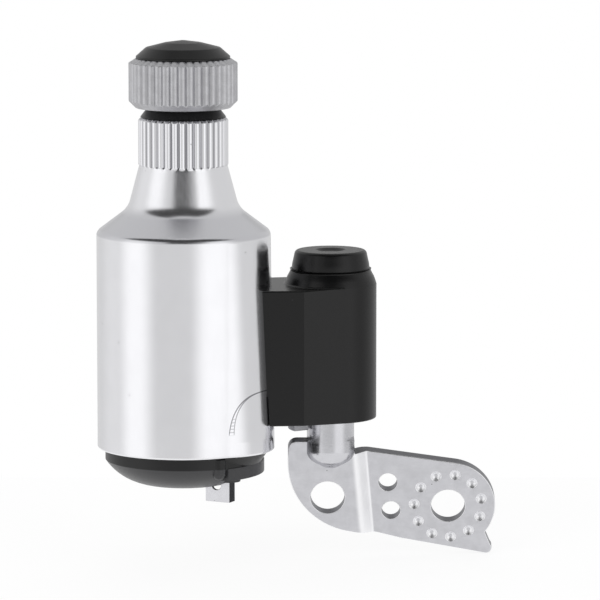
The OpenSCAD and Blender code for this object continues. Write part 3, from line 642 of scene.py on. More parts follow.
class Surface(Enum):
    """The finishes of this object."""
    # Drawn and polished aluminium: soft mirror with faint upright draw marks and a few pits
    # Its finish paints shade in the flutes, on the shoulder and along the blister's outline
    CAN = Drawn("aluminium_can", "#efeff2", 0.17, 1.0, grain_mm=0.5, relief_mm=0.0006, stretch=(1, 1, 8),
                mottle=0.012, mottle_mm=7, uneven=0.03, pit_mm=0.22, pit_gap_mm=2.2, pit_share=0.16,
                pit_colour="#a8a8ac", axis_mm=CAN_FOOT)
    # Case-hardened ground steel: even grey satin with fine lines round the roller
    ROLLER = Finish("roller_steel", "#c8c8cb", 0.42, 1.0, grain_mm=0.25, relief_mm=0.004, stretch=(3, 3, 1),
                    mottle=0.05, mottle_mm=2, uneven=0.08)
    # ABS from a spark-eroded mould: near black, satin, with a fine even grain
    COVER = Pitted("black_plastic", "#050506", 0.32, ior=1.42, grain_mm=0.25, relief_mm=0.004, mottle=0.12,
                   mottle_mm=4, uneven=0.05, pit_mm=0.2, pit_gap_mm=2.6, pit_share=0.08, pit_colour="#505052")
    # The same plastic in the base, a little greyer and duller, painted paler below a line as painted light
    BASE = PaintedPaleBelow("base_plastic", "#08080a", 0.36, ior=1.46, grain_mm=0.3, relief_mm=0.006, mottle=0.12,
                  mottle_mm=4, line_mm=CAN_FOOT[2] - 2.7)
    # Rolled steel sheet, bright zinc plated: pale silver, satin, mottled by the plating
    # Painted shade on the cut edges and a painted highlight on the bend, chosen by the way the surface faces
    PLATE = FacingShaded("zinc_plate", "#d0d0d4", 0.38, 1.0, grain_mm=0.3, relief_mm=0.004, stretch=(4, 1, 1),
                    mottle=0.05, mottle_mm=3, uneven=0.08, pit_mm=0.18, pit_gap_mm=2.2, pit_share=0.15)
    # Turned steel, bright zinc plated: as the plate, with lines round the axis
    PIN = Finish("pin_steel", "#d6d6da", 0.22, 1.0, grain_mm=0.3, relief_mm=0.003,
                 stretch=(4, 4, 1), mottle=0.04)
    # Spring steel strip, bright plated: a smooth pale face, its folded side and cut edges painted dark as
    # painted shade
    TAB = FacingShaded("pin_steel", "#dcdce0", 0.3, 1.0, grain_mm=0.3, relief_mm=0.003, mottle=0.03, mottle_mm=2,
                  facing=(-0.454, -0.891, 0.0), edge_shade_colour="#2c2c30", bend_highlight_colour="#dcdce0")
    # Die-cast light metal, as it comes from the die: dull grey with flow patches
    CAST = Finish("bracket_metal", "#b4b4b8", 0.5, 1.0, grain_mm=0.5, relief_mm=0.02, mottle=0.1, mottle_mm=3)
    # Drawn spring wire: dark, smooth and slightly oily
    SPRING = Finish("spring_steel", "#8a8a8e", 0.32, 1.0, grain_mm=0.2, relief_mm=0.002, mottle=0.05)
    # Hardened steel, blued and oiled: nearly black with a satin shine
    HARD = Finish("hard_steel", "#66666c", 0.36, 1.0, grain_mm=0.25, relief_mm=0.003, mottle=0.1)
    # Sintered bronze: matt and warm, open-pored
    BRONZE = Finish("sintered_bronze", "#b08a5e", 0.55, 1.0, grain_mm=0.25, relief_mm=0.02,
                    mottle=0.12, mottle_mm=1)
    # Rolled brass strip: yellow with faint lines along the strip
    BRASS = Finish("brass_strip", "#cfae6a", 0.3, 1.0, grain_mm=0.3, relief_mm=0.003, stretch=(6, 1, 1))
    # Enamelled copper wire: wound turns show as fine lines round the coil
    COPPER = Finish("copper_wire", "#a35a2c", 0.28, 1.0, grain_mm=0.18, relief_mm=0.04, stretch=(40, 40, 1))
    # Natural nylon: milky, slightly waxy
    NYLON = Finish("natural_nylon", "#ddd6c2", 0.5, ior=1.53, grain_mm=0.5, relief_mm=0.006, mottle=0.03)
    # Pressed soft iron, phosphated: matt dark grey, crystalline
    IRON = Finish("soft_iron", "#5c5e62", 0.6, 1.0, grain_mm=0.2, relief_mm=0.01, mottle=0.15, mottle_mm=1.5)
    # Sintered ferrite: charcoal ceramic with a dull broken gloss
    FERRITE = Finish("ferrite", "#35353a", 0.55, ior=2.2, grain_mm=0.4, relief_mm=0.012,
                     mottle=0.15, mottle_mm=2)
    # Oiled wool felt: brown and fibrous
    FELT = Finish("felt", "#7a6848", 0.95, ior=1.4, grain_mm=0.3, relief_mm=0.15, mottle=0.2, mottle_mm=1)
    # Nitrile rubber ring: black and dull
    RUBBER = Finish("rubber_ring", "#161616", 0.7, ior=1.52, grain_mm=0.4, relief_mm=0.006)


class Workshop:
    """Hands out finished materials and puts pieces on their bodies."""

    def __init__(self) -> None:
        """Starts with no material made."""
        self.made: dict[Surface, bpy.types.Material] = {}

    def material(self, surface: Surface) -> bpy.types.Material:
        """The material of a finish, built once."""
        if surface not in self.made:
            self.made[surface] = surface.value.make()
        return self.made[surface]

    def place(self, made: bpy.types.Object, surface: Surface, *nodes: str) -> bpy.types.Object:
        """Dresses a new piece and lets it stand for nodes of the frame.

        Args:
            made: The piece, in its place.
            surface: Its finish.
            nodes: The nodes that it stands for. It rides on the body of the first.

        Returns:
            The piece.
        """
        made.data.materials.clear()
        made.data.materials.append(self.material(surface))
        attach(made, frame["nodes"][nodes[0]]["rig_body"])
        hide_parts(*nodes)
        log.info("%s stands for %s: %d faces", made.name, ", ".join(nodes), len(made.data.polygons))
        return made

    def paint(self, surface: Surface, *nodes: str) -> None:
        """Gives nodes of the frame a finish and leaves their shape."""
        for name in nodes:
            node = frame["nodes"][name]
            node.data.materials.clear()
            node.data.materials.append(self.material(surface))
            log.info("%s keeps its shape, in %s", name, surface.value.slot)

    def eased(self, node: str, name: str, surface: Surface, edge_mm: float,
              crease_deg: float = 12.0) -> bpy.types.Object:
        """A merged copy of a node with its edges eased by a bevel.

        Args:
            node: The node that is copied and then hidden.
            name: The piece's name.
            surface: Its finish.
            edge_mm: Radius of the eased edges.
            crease_deg: Edges that turn more than this shade as creases before the bevel.

        Returns:
            The piece.
        """
        mesh = frame["nodes"][node].data.copy()
        mesh.name = name
        work = bmesh.new()
        work.from_mesh(mesh)
        bmesh.ops.remove_doubles(work, verts=work.verts, dist=2e-6)
        bmesh.ops.dissolve_limit(work, angle_limit=radians(0.5), verts=work.verts, edges=work.edges)
        work.to_mesh(mesh)
        work.free()
        if "custom_normal" in mesh.attributes:
            mesh.attributes.remove(mesh.attributes["custom_normal"])
        made = piece(mesh, crease_deg)
        bevel = made.modifiers.new("eased_edges", "BEVEL")
        bevel.width = edge_mm * MM
        bevel.segments = 3
        bevel.limit_method = "ANGLE"
        bevel.angle_limit = radians(28)
        bevel.use_clamp_overlap = False
        weighted = made.modifiers.new("flat_faces", "WEIGHTED_NORMAL")
        weighted.keep_sharp = True
        return self.place(made, surface, node)


# Sub-assemblies

@dataclass
class Can:
    """The aluminium can: rolled foot, terminal blister, shoulder, flare and fluted neck.

    Attributes:
        wall: Thickness of the shell.
        side_h: Height of the straight side.
        corner_r: Radius between the side and the shoulder.
        shoulder_slope: Slope of the shoulder, in degrees.
        fillet_r: Radius between the shoulder and the flare.
        flare_slope: How far the flare leans from upright, in degrees.
        flute_z: Height where the flutes begin.
        neck_r: Radius of the flutes' floor, and crest_r that of their crests.
        flare_top_r: Radius of the flare's top.
        flutes: Number of ribs round the neck, with flute_columns columns each.
        rib_r: Radius of a rib.
        blister_bearing: Bearing of the terminal blister, in degrees.
        blister_proud: How far it stands out, with its height blister_h and radius blister_r.
        centre: The can's axis.
    """
    wall: float = 1.3
    side_h: float = 53.0
    corner_r: float = 2.0
    shoulder_slope: float = 37.0
    fillet_r: float = 6.0
    flare_slope: float = 15.0
    flute_z: float = 70.3
    neck_r: float = 10.6
    crest_r: float = 11.1
    flare_top_r: float = 10.9
    flutes: int = 36
    flute_columns: int = 16
    rib_r: float = 0.8
    blister_bearing: float = -27.0
    blister_proud: float = 1.8
    blister_h: float = 15.8
    blister_r: float = 15.0
    centre: np.ndarray = field(default_factory=lambda: axis_of("roller_cap"))

    def __post_init__(self) -> None:
        """Reads the can's radius, foot and height from the frame."""
        low, high = box_mm("can_shell")
        self.foot_z = float(low[2])
        self.neck_top = float(high[2] - low[2])
        self.radius = float(self.centre[0] - low[0])

    def side(self, inset: float) -> list[np.ndarray]:
        """Corner and fillet centres with their radii at a depth below the surface.

        The shoulder's line is tangent to the corner's arc, the flare's line goes through the
        flare's top, and the fillet's centre lies at its radius from both lines.

        Args:
            inset: The depth below the surface.

        Returns:
            The rows of the corner's arc and of the fillet's arc.
        """
        lean, flare = radians(90 - self.shoulder_slope), radians(self.flare_slope)
        corner = np.array([self.radius - self.corner_r, self.side_h])
        n1, n2 = np.array([cos(lean), sin(lean)]), np.array([cos(flare), sin(flare)])
        d1 = corner @ n1 + self.corner_r + self.fillet_r
        d2 = np.array([self.flare_top_r, self.flute_z]) @ n2 + self.fillet_r
        fillet = np.linalg.solve(np.array([n1, n2]), np.array([d1, d2]))
        rise = np.linspace(0, lean, 12)
        fall = np.linspace(pi + lean, pi + flare, 14)
        first = corner + (self.corner_r - inset) * np.stack([np.cos(rise), np.sin(rise)], 1)
        second = fillet + (self.fillet_r + inset) * np.stack([np.cos(fall), np.sin(fall)], 1)
        return [first, second]

    def profile(self) -> np.ndarray:
        """Closed section of the shell: up the outside, over the neck and down the inside.

        Returns:
            The section's rows of (r, z).
        """
        guard = 0.15
        first, second = self.side(0)
        along = (second[0] - first[-1]) / hypot(*(second[0] - first[-1]))
        down = (np.array([self.flare_top_r, self.flute_z]) - second[-1])
        down = down / hypot(*down)
        lip_r = self.radius - 1.75
        foot = rounded([(lip_r, 1.5, 0), (lip_r, 0.3, 0), (self.radius - 1.3, 0, 0.4),
                        (self.radius, 0.35, 0.5), (self.radius, 4, 0)], steps=8)
        brim = np.array([self.flare_top_r, self.flute_z]) - down * 0.4
        outside = np.concatenate([foot, [[self.radius, self.side_h - guard]], first,
                                  [first[-1] + along * guard, second[0] - along * guard], second,
                                  [second[-1] + down * guard, brim]])
        neck = rounded([(self.flare_top_r, self.flute_z, 0), (self.neck_r, self.neck_top - 0.7, 0),
                        (self.neck_r, self.neck_top - 0.4, 0.2), (self.neck_r - 0.3, self.neck_top, 0.15),
                        (self.neck_r - 1.2, self.neck_top, 0.1), (self.neck_r - 1.2, self.flute_z - 3, 0)],
                       steps=4)
        inner_first, inner_second = self.side(self.wall)
        inside = np.concatenate([inner_second[::-3], inner_first[::-3], [[self.radius - self.wall, 1.5]]])
        fine = refined(refined(outside, 0.3, 0.5, self.blister_h + 0.8), 0.8, self.side_h + 1, self.flute_z)
        return np.concatenate([fine, self.neck_rows(), neck[-12:], inside])

    def neck_rows(self) -> np.ndarray:
        """Rows of the fluted neck: close together at both ends of the flutes, far apart between."""
        low, high = self.flute_z, self.neck_top - 0.75
        ends = np.linspace(0, 1.0, 11)
        heights = np.concatenate([low + 1.1 * ends, [low + 3, high - 3], high - 1.0 * ends[::-1]])
        return np.stack([np.full(len(heights), self.neck_r), heights], 1)

    def surface(self) -> np.ndarray:
        """Grid of the shell, with the flutes and the terminal blister worked into its radius.

        Returns:
            The grid, about the can's axis and from its foot.
        """
        profile = self.profile()
        grid = lathe(profile, self.flutes * self.flute_columns)
        turn = np.arctan2(grid[..., 1], grid[..., 0])
        radius, height = np.hypot(grid[..., 0], grid[..., 1]), grid[..., 2]
        outer = (np.arange(len(profile)) < len(profile) - 18)[:, None]
        fluted = self.fluted(turn, height)
        radius = np.where(outer & (height > self.flute_z - 0.6), fluted, radius)
        blistered = self.blistered(turn, height)
        side = outer & (height < self.blister_h + 2) & (radius > self.radius - 1.2)
        radius = np.where(side, radius + blistered, radius)
        return np.stack([radius * np.cos(turn), radius * np.sin(turn), height], axis=2)

    def fluted(self, turn: np.ndarray, height: np.ndarray) -> np.ndarray:
        """Radius with the neck's ribs: each rib is a round bar of rib_r whose crest is at crest_r.

        The floor between the ribs rises to the flare at the lower end, the crests fade into it, and
        a chamfer cuts both at the top.

        Args:
            turn: Angle round the axis.
            height: Height above the foot.

        Returns:
            The radius of the fluted neck.
        """
        pitch = FULL_TURN / self.flutes
        swing = (turn + pitch / 2) % pitch - pitch / 2
        reach = self.crest_r - self.rib_r
        across = np.clip(self.rib_r ** 2 - (reach * np.sin(swing)) ** 2, 0, None)
        bar = reach * np.cos(swing) + np.sqrt(across)
        start = np.clip((height - self.flute_z + 0.1) / 0.55, 0, 1)
        start = start * start * (3 - 2 * start)
        flare = self.flare_top_r + (self.flute_z - height) * tan(radians(self.flare_slope))
        ribbed = np.maximum(bar, self.neck_r)
        mixed = np.where(height < self.flute_z, flare, self.flare_top_r)
        body = mixed * (1 - start) + ribbed * start
        chamfer = self.neck_r - 0.3 + (self.neck_top - height) * 1.1
        return np.minimum(body, np.maximum(chamfer, 0.1))

    def blistered(self, turn: np.ndarray, height: np.ndarray) -> np.ndarray:
        """How far the terminal blister stands out of the can's side.

        In plan it is a circle of blister_r pushed proud of the can. The push fades with the
        height by (1 - (h / H) ** 3.2) ** 0.8, and its edges run softly into the can.

        Args:
            turn: Angle round the axis.
            height: Height above the foot.

        Returns:
            The distance by which the radius grows.
        """
        share = np.clip(height / self.blister_h, 0, 1)
        proud = self.blister_proud * (1 - share ** 3.2) ** 0.8
        push = self.radius + proud - self.blister_r
        bearing = turn - radians(self.blister_bearing)
        inside = np.clip(self.blister_r ** 2 - (push * np.sin(bearing)) ** 2, 0, None)
        circle = np.where(np.cos(bearing) > 0, push * np.cos(bearing) + np.sqrt(inside), 0)
        lift = circle - self.radius
        soft = 0.12
        return (lift + np.sqrt(lift * lift + soft * soft)) / 2 - soft * 0.02

    def build(self, shop: Workshop) -> None:
        """Makes the can."""
        shape = skin("can_surface", self.surface() + self.centre + [0, 0, self.foot_z], ring=True)
        shop.place(shape, Surface.CAN, "can_shell")


@dataclass
class Roller:
    """The drive roller with its ribs, and the black cap pressed into it.

    Attributes:
        ribs: Number of ribs, with rib_columns columns each.
        rib_r: Radius of a rib.
        rib_depth: Depth of the grooves.
        bevel: Size of the bevel below.
        brow_h: Height of the sloped brow on top.
        web: Thickness of the roller's floor.
        hole_r: Radius of the bore.
        centre: The roller's axis.
    """
    ribs: int = 40
    rib_columns: int = 12
    rib_r: float = 1.05
    rib_depth: float = 0.55
    bevel: float = 1.7
    brow_h: float = 1.1
    web: float = 3.8
    hole_r: float = 2.53
    centre: np.ndarray = field(default_factory=lambda: axis_of("roller_cap"))

    def __post_init__(self) -> None:
        """Reads the radii and heights from the frame."""
        low, high = box_mm("drive_roller")
        self.foot_z, self.height = float(low[2]), float(high[2] - low[2])
        self.radius = float(high[0] - low[0]) / 2
        low, high = box_mm("roller_cap")
        self.cap_r = float(high[0] - low[0]) / 2
        self.cap_top = float(high[2])

    def build(self, shop: Workshop) -> None:
        """Makes the roller and its cap."""
        shape = skin("roller_surface", self.surface() + self.centre + [0, 0, self.foot_z], ring=True)
        shop.place(shape, Surface.ROLLER, "drive_roller")
        shape = skin("cap_surface", self.cap() + self.centre)
        shop.place(shape, Surface.COVER, "roller_cap")

    def surface(self) -> np.ndarray:
        """Grid of the roller: ribs that run out in a bevel below and over a sloped brow on top.

        Returns:
            The grid, about the roller's axis and from its foot.
        """
        top, low, high = self.height, self.radius - self.bevel, self.cap_r + 0.1
        recess = self.cap_r - 1.4
        outside = np.concatenate([
            rounded([(self.hole_r, 0, 0), (low, 0, 0.25), (low + 0.3, 0.3, 0)], steps=4),
            np.stack([np.linspace(low + 0.4, self.radius, 20), np.linspace(0.4, self.bevel, 20)], 1),
            [[self.radius, self.bevel + 0.2], [self.radius, top - self.brow_h - 0.3]],
            np.stack([np.linspace(self.radius, high + 0.1, 20),
                      np.linspace(top - self.brow_h, top - 0.06, 20)], 1),
            rounded([(high + 0.05, top - 0.03, 0), (high, top, 0.05), (recess, top, 0.2),
                     (recess, self.web, 0.3), (self.hole_r, self.web, 0)], steps=4)])
        grid = lathe(outside, self.ribs * self.rib_columns)
        turn = np.arctan2(grid[..., 1], grid[..., 0])
        radius, height = np.hypot(grid[..., 0], grid[..., 1]), grid[..., 2]
        pitch = FULL_TURN / self.ribs
        swing = (turn + pitch / 2) % pitch - pitch / 2
        reach = self.radius - self.rib_r
        across = np.clip(self.rib_r ** 2 - (reach * np.sin(swing)) ** 2, 0, None)
        ribbed = np.maximum(reach * np.cos(swing) + np.sqrt(across), self.radius - self.rib_depth)
        outer = (height > 0.02) & (height < top - 0.02) & (radius > self.radius - self.bevel)
        cone = self.radius - self.bevel + height
        brow = high + (top - height) * (self.radius - high) / self.brow_h
        brow -= 0.8 * (self.radius - ribbed)
        radius = np.where(outer, np.minimum(np.minimum(ribbed, cone), brow), radius)
        return np.stack([radius * np.cos(turn), radius * np.sin(turn), height], axis=2)

    def cap(self) -> np.ndarray:
        """Grid of the cap: a plug in the roller's recess, a thin rim and a low domed crown.

        Returns:
            The grid, about the roller's axis.
        """
        foot = self.foot_z + self.height
        height = self.cap_top - foot
        crown = self.cap_r - 2.4
        plug = self.cap_r - 1.45
        profile = rounded([(0.4, foot + 2.2, 0), (plug - 2, foot + 0.6, 0.2), (plug - 2, foot - 4, 0.1),
                           (plug, foot - 4, 0.3), (plug, foot + 0.05, 0), (self.cap_r, foot + 0.05, 0.12),
                           (self.cap_r, foot + 0.55, 0.2), (crown, foot + height * 0.6, 0.8),
                           (crown / 2, foot + height * 0.87, 3), (0.5, self.cap_top - 0.01, 0)], steps=6)
        return lathe(profile, 128)


@dataclass
class HingeArm:
    """The black hinge housing with its push button, and the bracket inside.

    Attributes:
        cover_edge: Radius of the housing's eased edges.
        button_edge: Radius of the button's.
        bracket_edge: Radius of the bracket's.
    """
    cover_edge: float = 0.35
    button_edge: float = 0.2
    bracket_edge: float = 0.25

    def build(self, shop: Workshop) -> None:
        """Eases the housing, the button and the bracket."""
        shop.eased("hinge_cover", "housing_surface", Surface.COVER, self.cover_edge)
        shop.eased("release_button", "button_surface", Surface.COVER, self.button_edge)
        shop.eased("hinge_bracket", "bracket_surface", Surface.CAST, self.bracket_edge)


@dataclass
class Mount:
    """The stamped mounting plate and the round-nosed hinge pin welded to it.

    The plate is drawn flat as loops (x, y, share of the thickness) from the bolt hole, cut into
    strips across the joggle, laid between the two faces of the bent sheet and leaned.

    Attributes:
        thickness: Thickness of the sheet.
        lean: How far the plate leans back, in degrees.
        end_r: Radius of the blank's round end.
        step: Height of the joggle.
        pips: Number of grip pips, and pip_circle the radius of their circle.
        pip_r: Radius of a cup in the front, and pip_deep its depth.
        hinge_x: Where the hinge's lobe stands.
        bend_x: Where the joggle's middle crosses the blank, with its slope, radius and tilt.
        top_z: Height of the lobe's top.
        edge: Radius of the plate's eased edges, and pin_edge that of the pin's.
        pin_r: Radius of the pin.
        nose_span: Foot of the pin's nose, height of its rounding, and its top.
        boss: Radius and height of a pip on the rear.
        holes: Place and radius of each hole: two for bolts and two small ones.
    """
    thickness: float = 3.0
    lean: float = 13.0
    end_r: float = 11.8
    step: float = 3.4
    pips: int = 11
    pip_circle: float = 8.5
    pip_r: float = 1.42
    pip_deep: float = 0.9
    hinge_x: float = -29.5
    bend_x: float = -21.5
    bend_slope: float = 45.0
    bend_r: float = 1.6
    bend_tilt: float = 5.0
    top_z: float = 16.9
    edge: float = 0.28
    pin_edge: float = 0.15
    pin_r: float = 5.9
    nose_span: tuple[float, float, float] = (10.4, 3.9, 17.8)
    boss: tuple[float, float] = (1.1, 0.6)
    holes: tuple[tuple[float, float, float], ...] = ((0.0, 0.0, 4.25), (-30.2, 3.7, 4.25), (-15.1, 6.4, 2.3),
                                                     (-14.3, -1.2, 2.3))

    def __post_init__(self) -> None:
        """Works out the heights that follow from the lean."""
        self.left_w = self.step + self.thickness
        self.lobe_top = (self.top_z + self.left_w * sin(radians(self.lean))) / cos(radians(self.lean))
        self.pin_at = axis_of("hinge_pin")

    def build(self, shop: Workshop) -> None:
        """Makes the plate, the pin and the pin's nose that stands out of the weld."""
        shop.place(self.plate(), Surface.PLATE, "mounting_plate")
        shop.eased("hinge_pin", "pin_surface", Surface.PIN, self.pin_edge)
        grid, normals = self.nose()
        nose = skin("pin_nose", grid, sharp_deg=180)
        nose.data.normals_split_custom_set_from_vertices(normals)
        nose.data.materials.append(shop.material(Surface.PIN))
        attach(nose, frame["nodes"]["hinge_pin"]["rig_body"])
        log.info("%s rides on the pin: %d faces", nose.name, len(nose.data.polygons))

    def outline(self) -> np.ndarray:
        """Outline of the blank, anticlockwise."""
        lobe_x = self.hinge_x - 10.6
        corner, belly = 2.2, 18.5
        return np.concatenate([
            bow((0, 0), self.end_r, -38, 82, 60),
            [[self.bend_x + 1.3, 14.9], [self.bend_x - 1.9, 15.2], [self.hinge_x + 5.7, self.lobe_top - 1.2],
             [self.hinge_x + 5, self.lobe_top]],
            bow((lobe_x + corner, self.lobe_top - corner), corner, 90, 180, 12),
            bow((lobe_x + belly, 12.6), belly, 180, 262, 48),
            [[-17.5, -7.4], [-11.7, -8.9]],
            bow((9.7, -11.6), 1.4, 258, 405, 16)])

    @staticmethod
    def inset(loop: np.ndarray, depth: float) -> np.ndarray:
        """The loop drawn in by a depth, with mitred corners.

        Args:
            loop: Points of (x, y), anticlockwise.
            depth: How far it is drawn in.

        Returns:
            The new loop.
        """
        ahead = np.roll(loop, -1, axis=0) - loop
        ahead /= np.linalg.norm(ahead, axis=1)[:, None]
        left = np.stack([-ahead[:, 1], ahead[:, 0]], 1)
        mean = left + np.roll(left, 1, axis=0)
        return loop + depth * mean / np.clip((mean * left).sum(axis=1), 0.6, None)[:, None]

    def border(self, loop: np.ndarray) -> np.ndarray:
        """Grid of a cut edge, from the front to the rear: a quarter round of edge at either end.

        Args:
            loop: Points of (x, y) along the border.

        Returns:
            The grid of (x, y, share of the thickness), one row for each depth.
        """
        ease = np.radians(np.linspace(0, 90, 5))
        side, drop = self.edge * (1 - np.sin(ease)), self.edge * (1 - np.cos(ease)) / self.thickness
        sides, shares = np.concatenate([side, side[::-1]]), np.concatenate([1 - drop, drop[::-1]])
        return np.stack([np.insert(self.inset(loop, depth), 2, share, axis=1)
                         for depth, share in zip(sides, shares)])

    def pip(self, angle: float, share: float, radius: float, deep: float) -> np.ndarray:
        """Grid of a cup in the front or of a pip on the rear, from its rim to its middle.

        The drop at the radius r is 1 - (r / 0.93) ** 2 of the depth, inside a small step at the rim.

        Args:
            angle: Where it stands round the bolt hole.
            share: Share of the thickness at its rim.
            radius: Its radius.
            deep: Its depth towards the rear.

        Returns:
            The grid of (x, y, share of the thickness).
        """
        reach = np.array([1, 0.93, 0.86, 0.72, 0.56, 0.4, 0.24, 0.1])
        drop = np.clip(1 - (reach / 0.93) ** 2, 0, None) * 0.94 + 0.06 * (reach < 0.99)
        at = self.pip_circle * np.array([cos(angle), sin(angle)])
        rings = [bow(at, radius * r, 360, 0, 32)[:-1] for r in reach]
        shares = share - deep * drop / self.thickness
        return np.stack([np.insert(ring, 2, height, axis=1) for ring, height in zip(rings, shares)])

    def plate(self) -> bpy.types.Object:
        """The plate with eased edges, round cups on the front and pips on the rear.

        Returns:
            The plate, in its place.
        """
        loops = [self.outline()] + [bow((x, y), radius, 360, 0, 64)[:-1] for x, y, radius in self.holes]
        cups = [self.pip(angle, share, radius, deep)
                for angle in np.radians((np.arange(self.pips) + 0.4) * 360 / self.pips)
                for share, radius, deep in ((1.0, self.pip_r, self.pip_deep), (0.0, *self.boss))]
        points, faces, count = [], [], 0
        for grid, capped in [(self.border(loop), False) for loop in loops] + [(cup, True) for cup in cups]:
            rows, columns, _ = grid.shape
            faces += (quads(rows, columns) + count).tolist()
            points.append(grid.reshape(-1, 3))
            count += rows * columns
            faces += [list(range(count - columns, count))] if capped else []
        mesh = mesh_of("plate_surface", np.concatenate(points), faces)
        self.filled(mesh)
        flat = np.empty(len(mesh.vertices) * 3, dtype=np.float32)
        mesh.vertices.foreach_get("co", flat)
        laid = self.laid(flat.reshape(-1, 3).astype(float)) * MM
        mesh.vertices.foreach_set("co", laid.astype(np.float32).ravel())
        mesh.update()
        made = piece(mesh, 38)
        weighted = made.modifiers.new("flat_faces", "WEIGHTED_NORMAL")
        weighted.keep_sharp = True
        return made

    def filled(self, mesh: bpy.types.Mesh) -> None:
        """Closes the flat plate's front and rear, and cuts it into strips that can follow the joggle.

        Args:
            mesh: The flat plate's edges and cups.
        """
        work = bmesh.new()
        work.from_mesh(mesh)
        for share in (1, 0):
            rims = [edge for edge in work.edges if edge.is_boundary and edge.verts[0].co.z == share]
            bmesh.ops.triangle_fill(work, use_beauty=True, edges=rims)
        tilt = radians(self.bend_tilt)
        across = Vector((cos(tilt), sin(tilt), 0))
        for place in np.linspace(-3.2, 3.2, 27).tolist():
            bmesh.ops.bisect_plane(work, geom=[*work.verts, *work.edges, *work.faces], dist=1e-4,
                                   plane_co=Vector((self.bend_x, 0, 0)) + across * place, plane_no=across)
        bmesh.ops.recalc_face_normals(work, faces=work.faces)
        work.to_mesh(mesh)
        work.free()

    def face_line(self, side: float) -> np.ndarray:
        """One face of the bent sheet as (place across the bend, height) points.

        Args:
            side: 1 for the front and -1 for the rear.

        Returns:
            The points, from the hinge's side to the bolt's.
        """
        slope = radians(self.bend_slope)
        half = side * self.thickness / 2
        run = self.step / tan(slope)
        mean_r = self.bend_r + self.thickness / 2
        turn = mean_r * tan(slope / 2)
        foot, top = self.thickness / 2, self.step + self.thickness / 2
        low = bow((run / 2 + turn, foot + mean_r), mean_r - half, 270, 270 - self.bend_slope, 12)
        high = bow((-run / 2 - turn, top - mean_r), mean_r + half, 90 - self.bend_slope, 90, 12)
        return np.concatenate([[[60, foot + half]], low, high, [[-60, top + half]]])[::-1]

    def laid(self, points: np.ndarray) -> np.ndarray:
        """Points of the flat plate, bent and leaned into place, in millimetres.

        Args:
            points: Rows of (x, y, share of the thickness).

        Returns:
            Rows of (x, y, z).
        """
        tilt, lean = radians(self.bend_tilt), radians(90 + self.lean)
        x, y, share = points.T
        across = (x - self.bend_x) * cos(tilt) + y * sin(tilt)
        rear, front = [np.interp(across, *self.face_line(side).T) for side in (-1.0, 1.0)]
        height = rear + (front - rear) * share
        return np.stack([x, y * cos(lean) - height * sin(lean), y * sin(lean) + height * cos(lean)], 1)

    def nose(self) -> tuple[np.ndarray, np.ndarray]:
        """Grid of the pin's nose where it stands out of the weld, and its shading directions.

        Across and ahead it is an ellipse whose size grows with the height as a quarter round does:
        height = foot + round_h * (1 - sqrt(1 - size ** 2)). It is shallow, so it is shaded as the
        round pin that it goes on from, and its last rows run back on to that pin.

        Returns:
            The grid, and a direction for each of its points and of its two end centres.
        """
        foot, round_h, top = self.nose_span
        share = np.concatenate([np.sin(np.radians(np.linspace(2, 90, 20))), np.linspace(1.15, 2, 18)])
        height = np.where(share <= 1, foot + round_h * (1 - np.sqrt(np.clip(1 - share ** 2, 0, None))),
                          foot + round_h + (share - 1) * (top - foot - round_h))
        size = np.minimum(share, 1)
        back = np.clip((share - 1.8) / 0.2, 0, 1)
        lean = radians(self.lean)
        middle = -(self.left_w / cos(lean) + height * tan(lean)) + 0.25
        depth = self.pin_r + 0.1 - self.pin_at[1] + middle
        middle += (self.pin_at[1] - middle) * back
        depth += (self.pin_r - 0.06 - depth) * back
        angle = np.linspace(0, -FULL_TURN, 96, endpoint=False)
        across = ((self.pin_r + 0.04 - 0.1 * back) * size)[:, None] * np.cos(angle)
        ahead = (depth * size)[:, None] * np.sin(angle)
        flat = 0 * across
        grid = np.stack([self.pin_at[0] + across, middle[:, None] - ahead, height[:, None] + flat], axis=2)
        drop = np.sqrt(1 - size ** 2)[:, None]
        round_way = np.stack([size[:, None] * np.cos(angle), -size[:, None] * np.sin(angle), flat - drop],
                             axis=2)
        return grid, np.concatenate([round_way.reshape(-1, 3), [[0, 0, -1], [0, -1, 0]]])


@dataclass
class Base:
    """The moulded base and the wire terminal.

    Attributes:
        base_edge: Radius of the base's eased edges, small because a larger one breaks at the pod.
        tab_edge: Radius of the tab's.
    """
    base_edge: float = 0.07
    tab_edge: float = 0.1

    def build(self, shop: Workshop) -> None:
        """Makes the base and the tab."""
        shop.eased("base_cover", "base_surface", Surface.BASE, self.base_edge)
        shop.eased("terminal_tab", "tab_surface", Surface.TAB, self.tab_edge)


@dataclass
class Inside:
    """The pieces inside, which keep the frame's shapes."""

    def build(self, shop: Workshop) -> None:
        """Gives each inner piece its finish."""
        shop.paint(Surface.COVER, "end_shield")
        shop.paint(Surface.BASE, "magnet_hub")
        shop.paint(Surface.HARD, "lock_collar", "pin_clip", "rotor_clip")
        shop.paint(Surface.NYLON, "hinge_bush_lower", "hinge_bush_upper", "coil_bobbin", "thrust_washer")
        shop.paint(Surface.SPRING, "torsion_spring", "button_spring", "terminal_spring")
        shop.paint(Surface.BRONZE, "bush_upper", "bush_lower")
        shop.paint(Surface.FELT, "felt_ring")
        shop.paint(Surface.IRON, "claw_upper", "claw_lower", "yoke_ring")
        shop.paint(Surface.COPPER, "coil_winding", "coil_lead")
        shop.paint(Surface.RUBBER, "base_seal")
        shop.paint(Surface.BRASS, "contact_bridge")
        shop.paint(Surface.PIN, "rotor_shaft", "roller_washer", "roller_nut")
        shop.paint(Surface.FERRITE, "magnet_ring")


# Studio

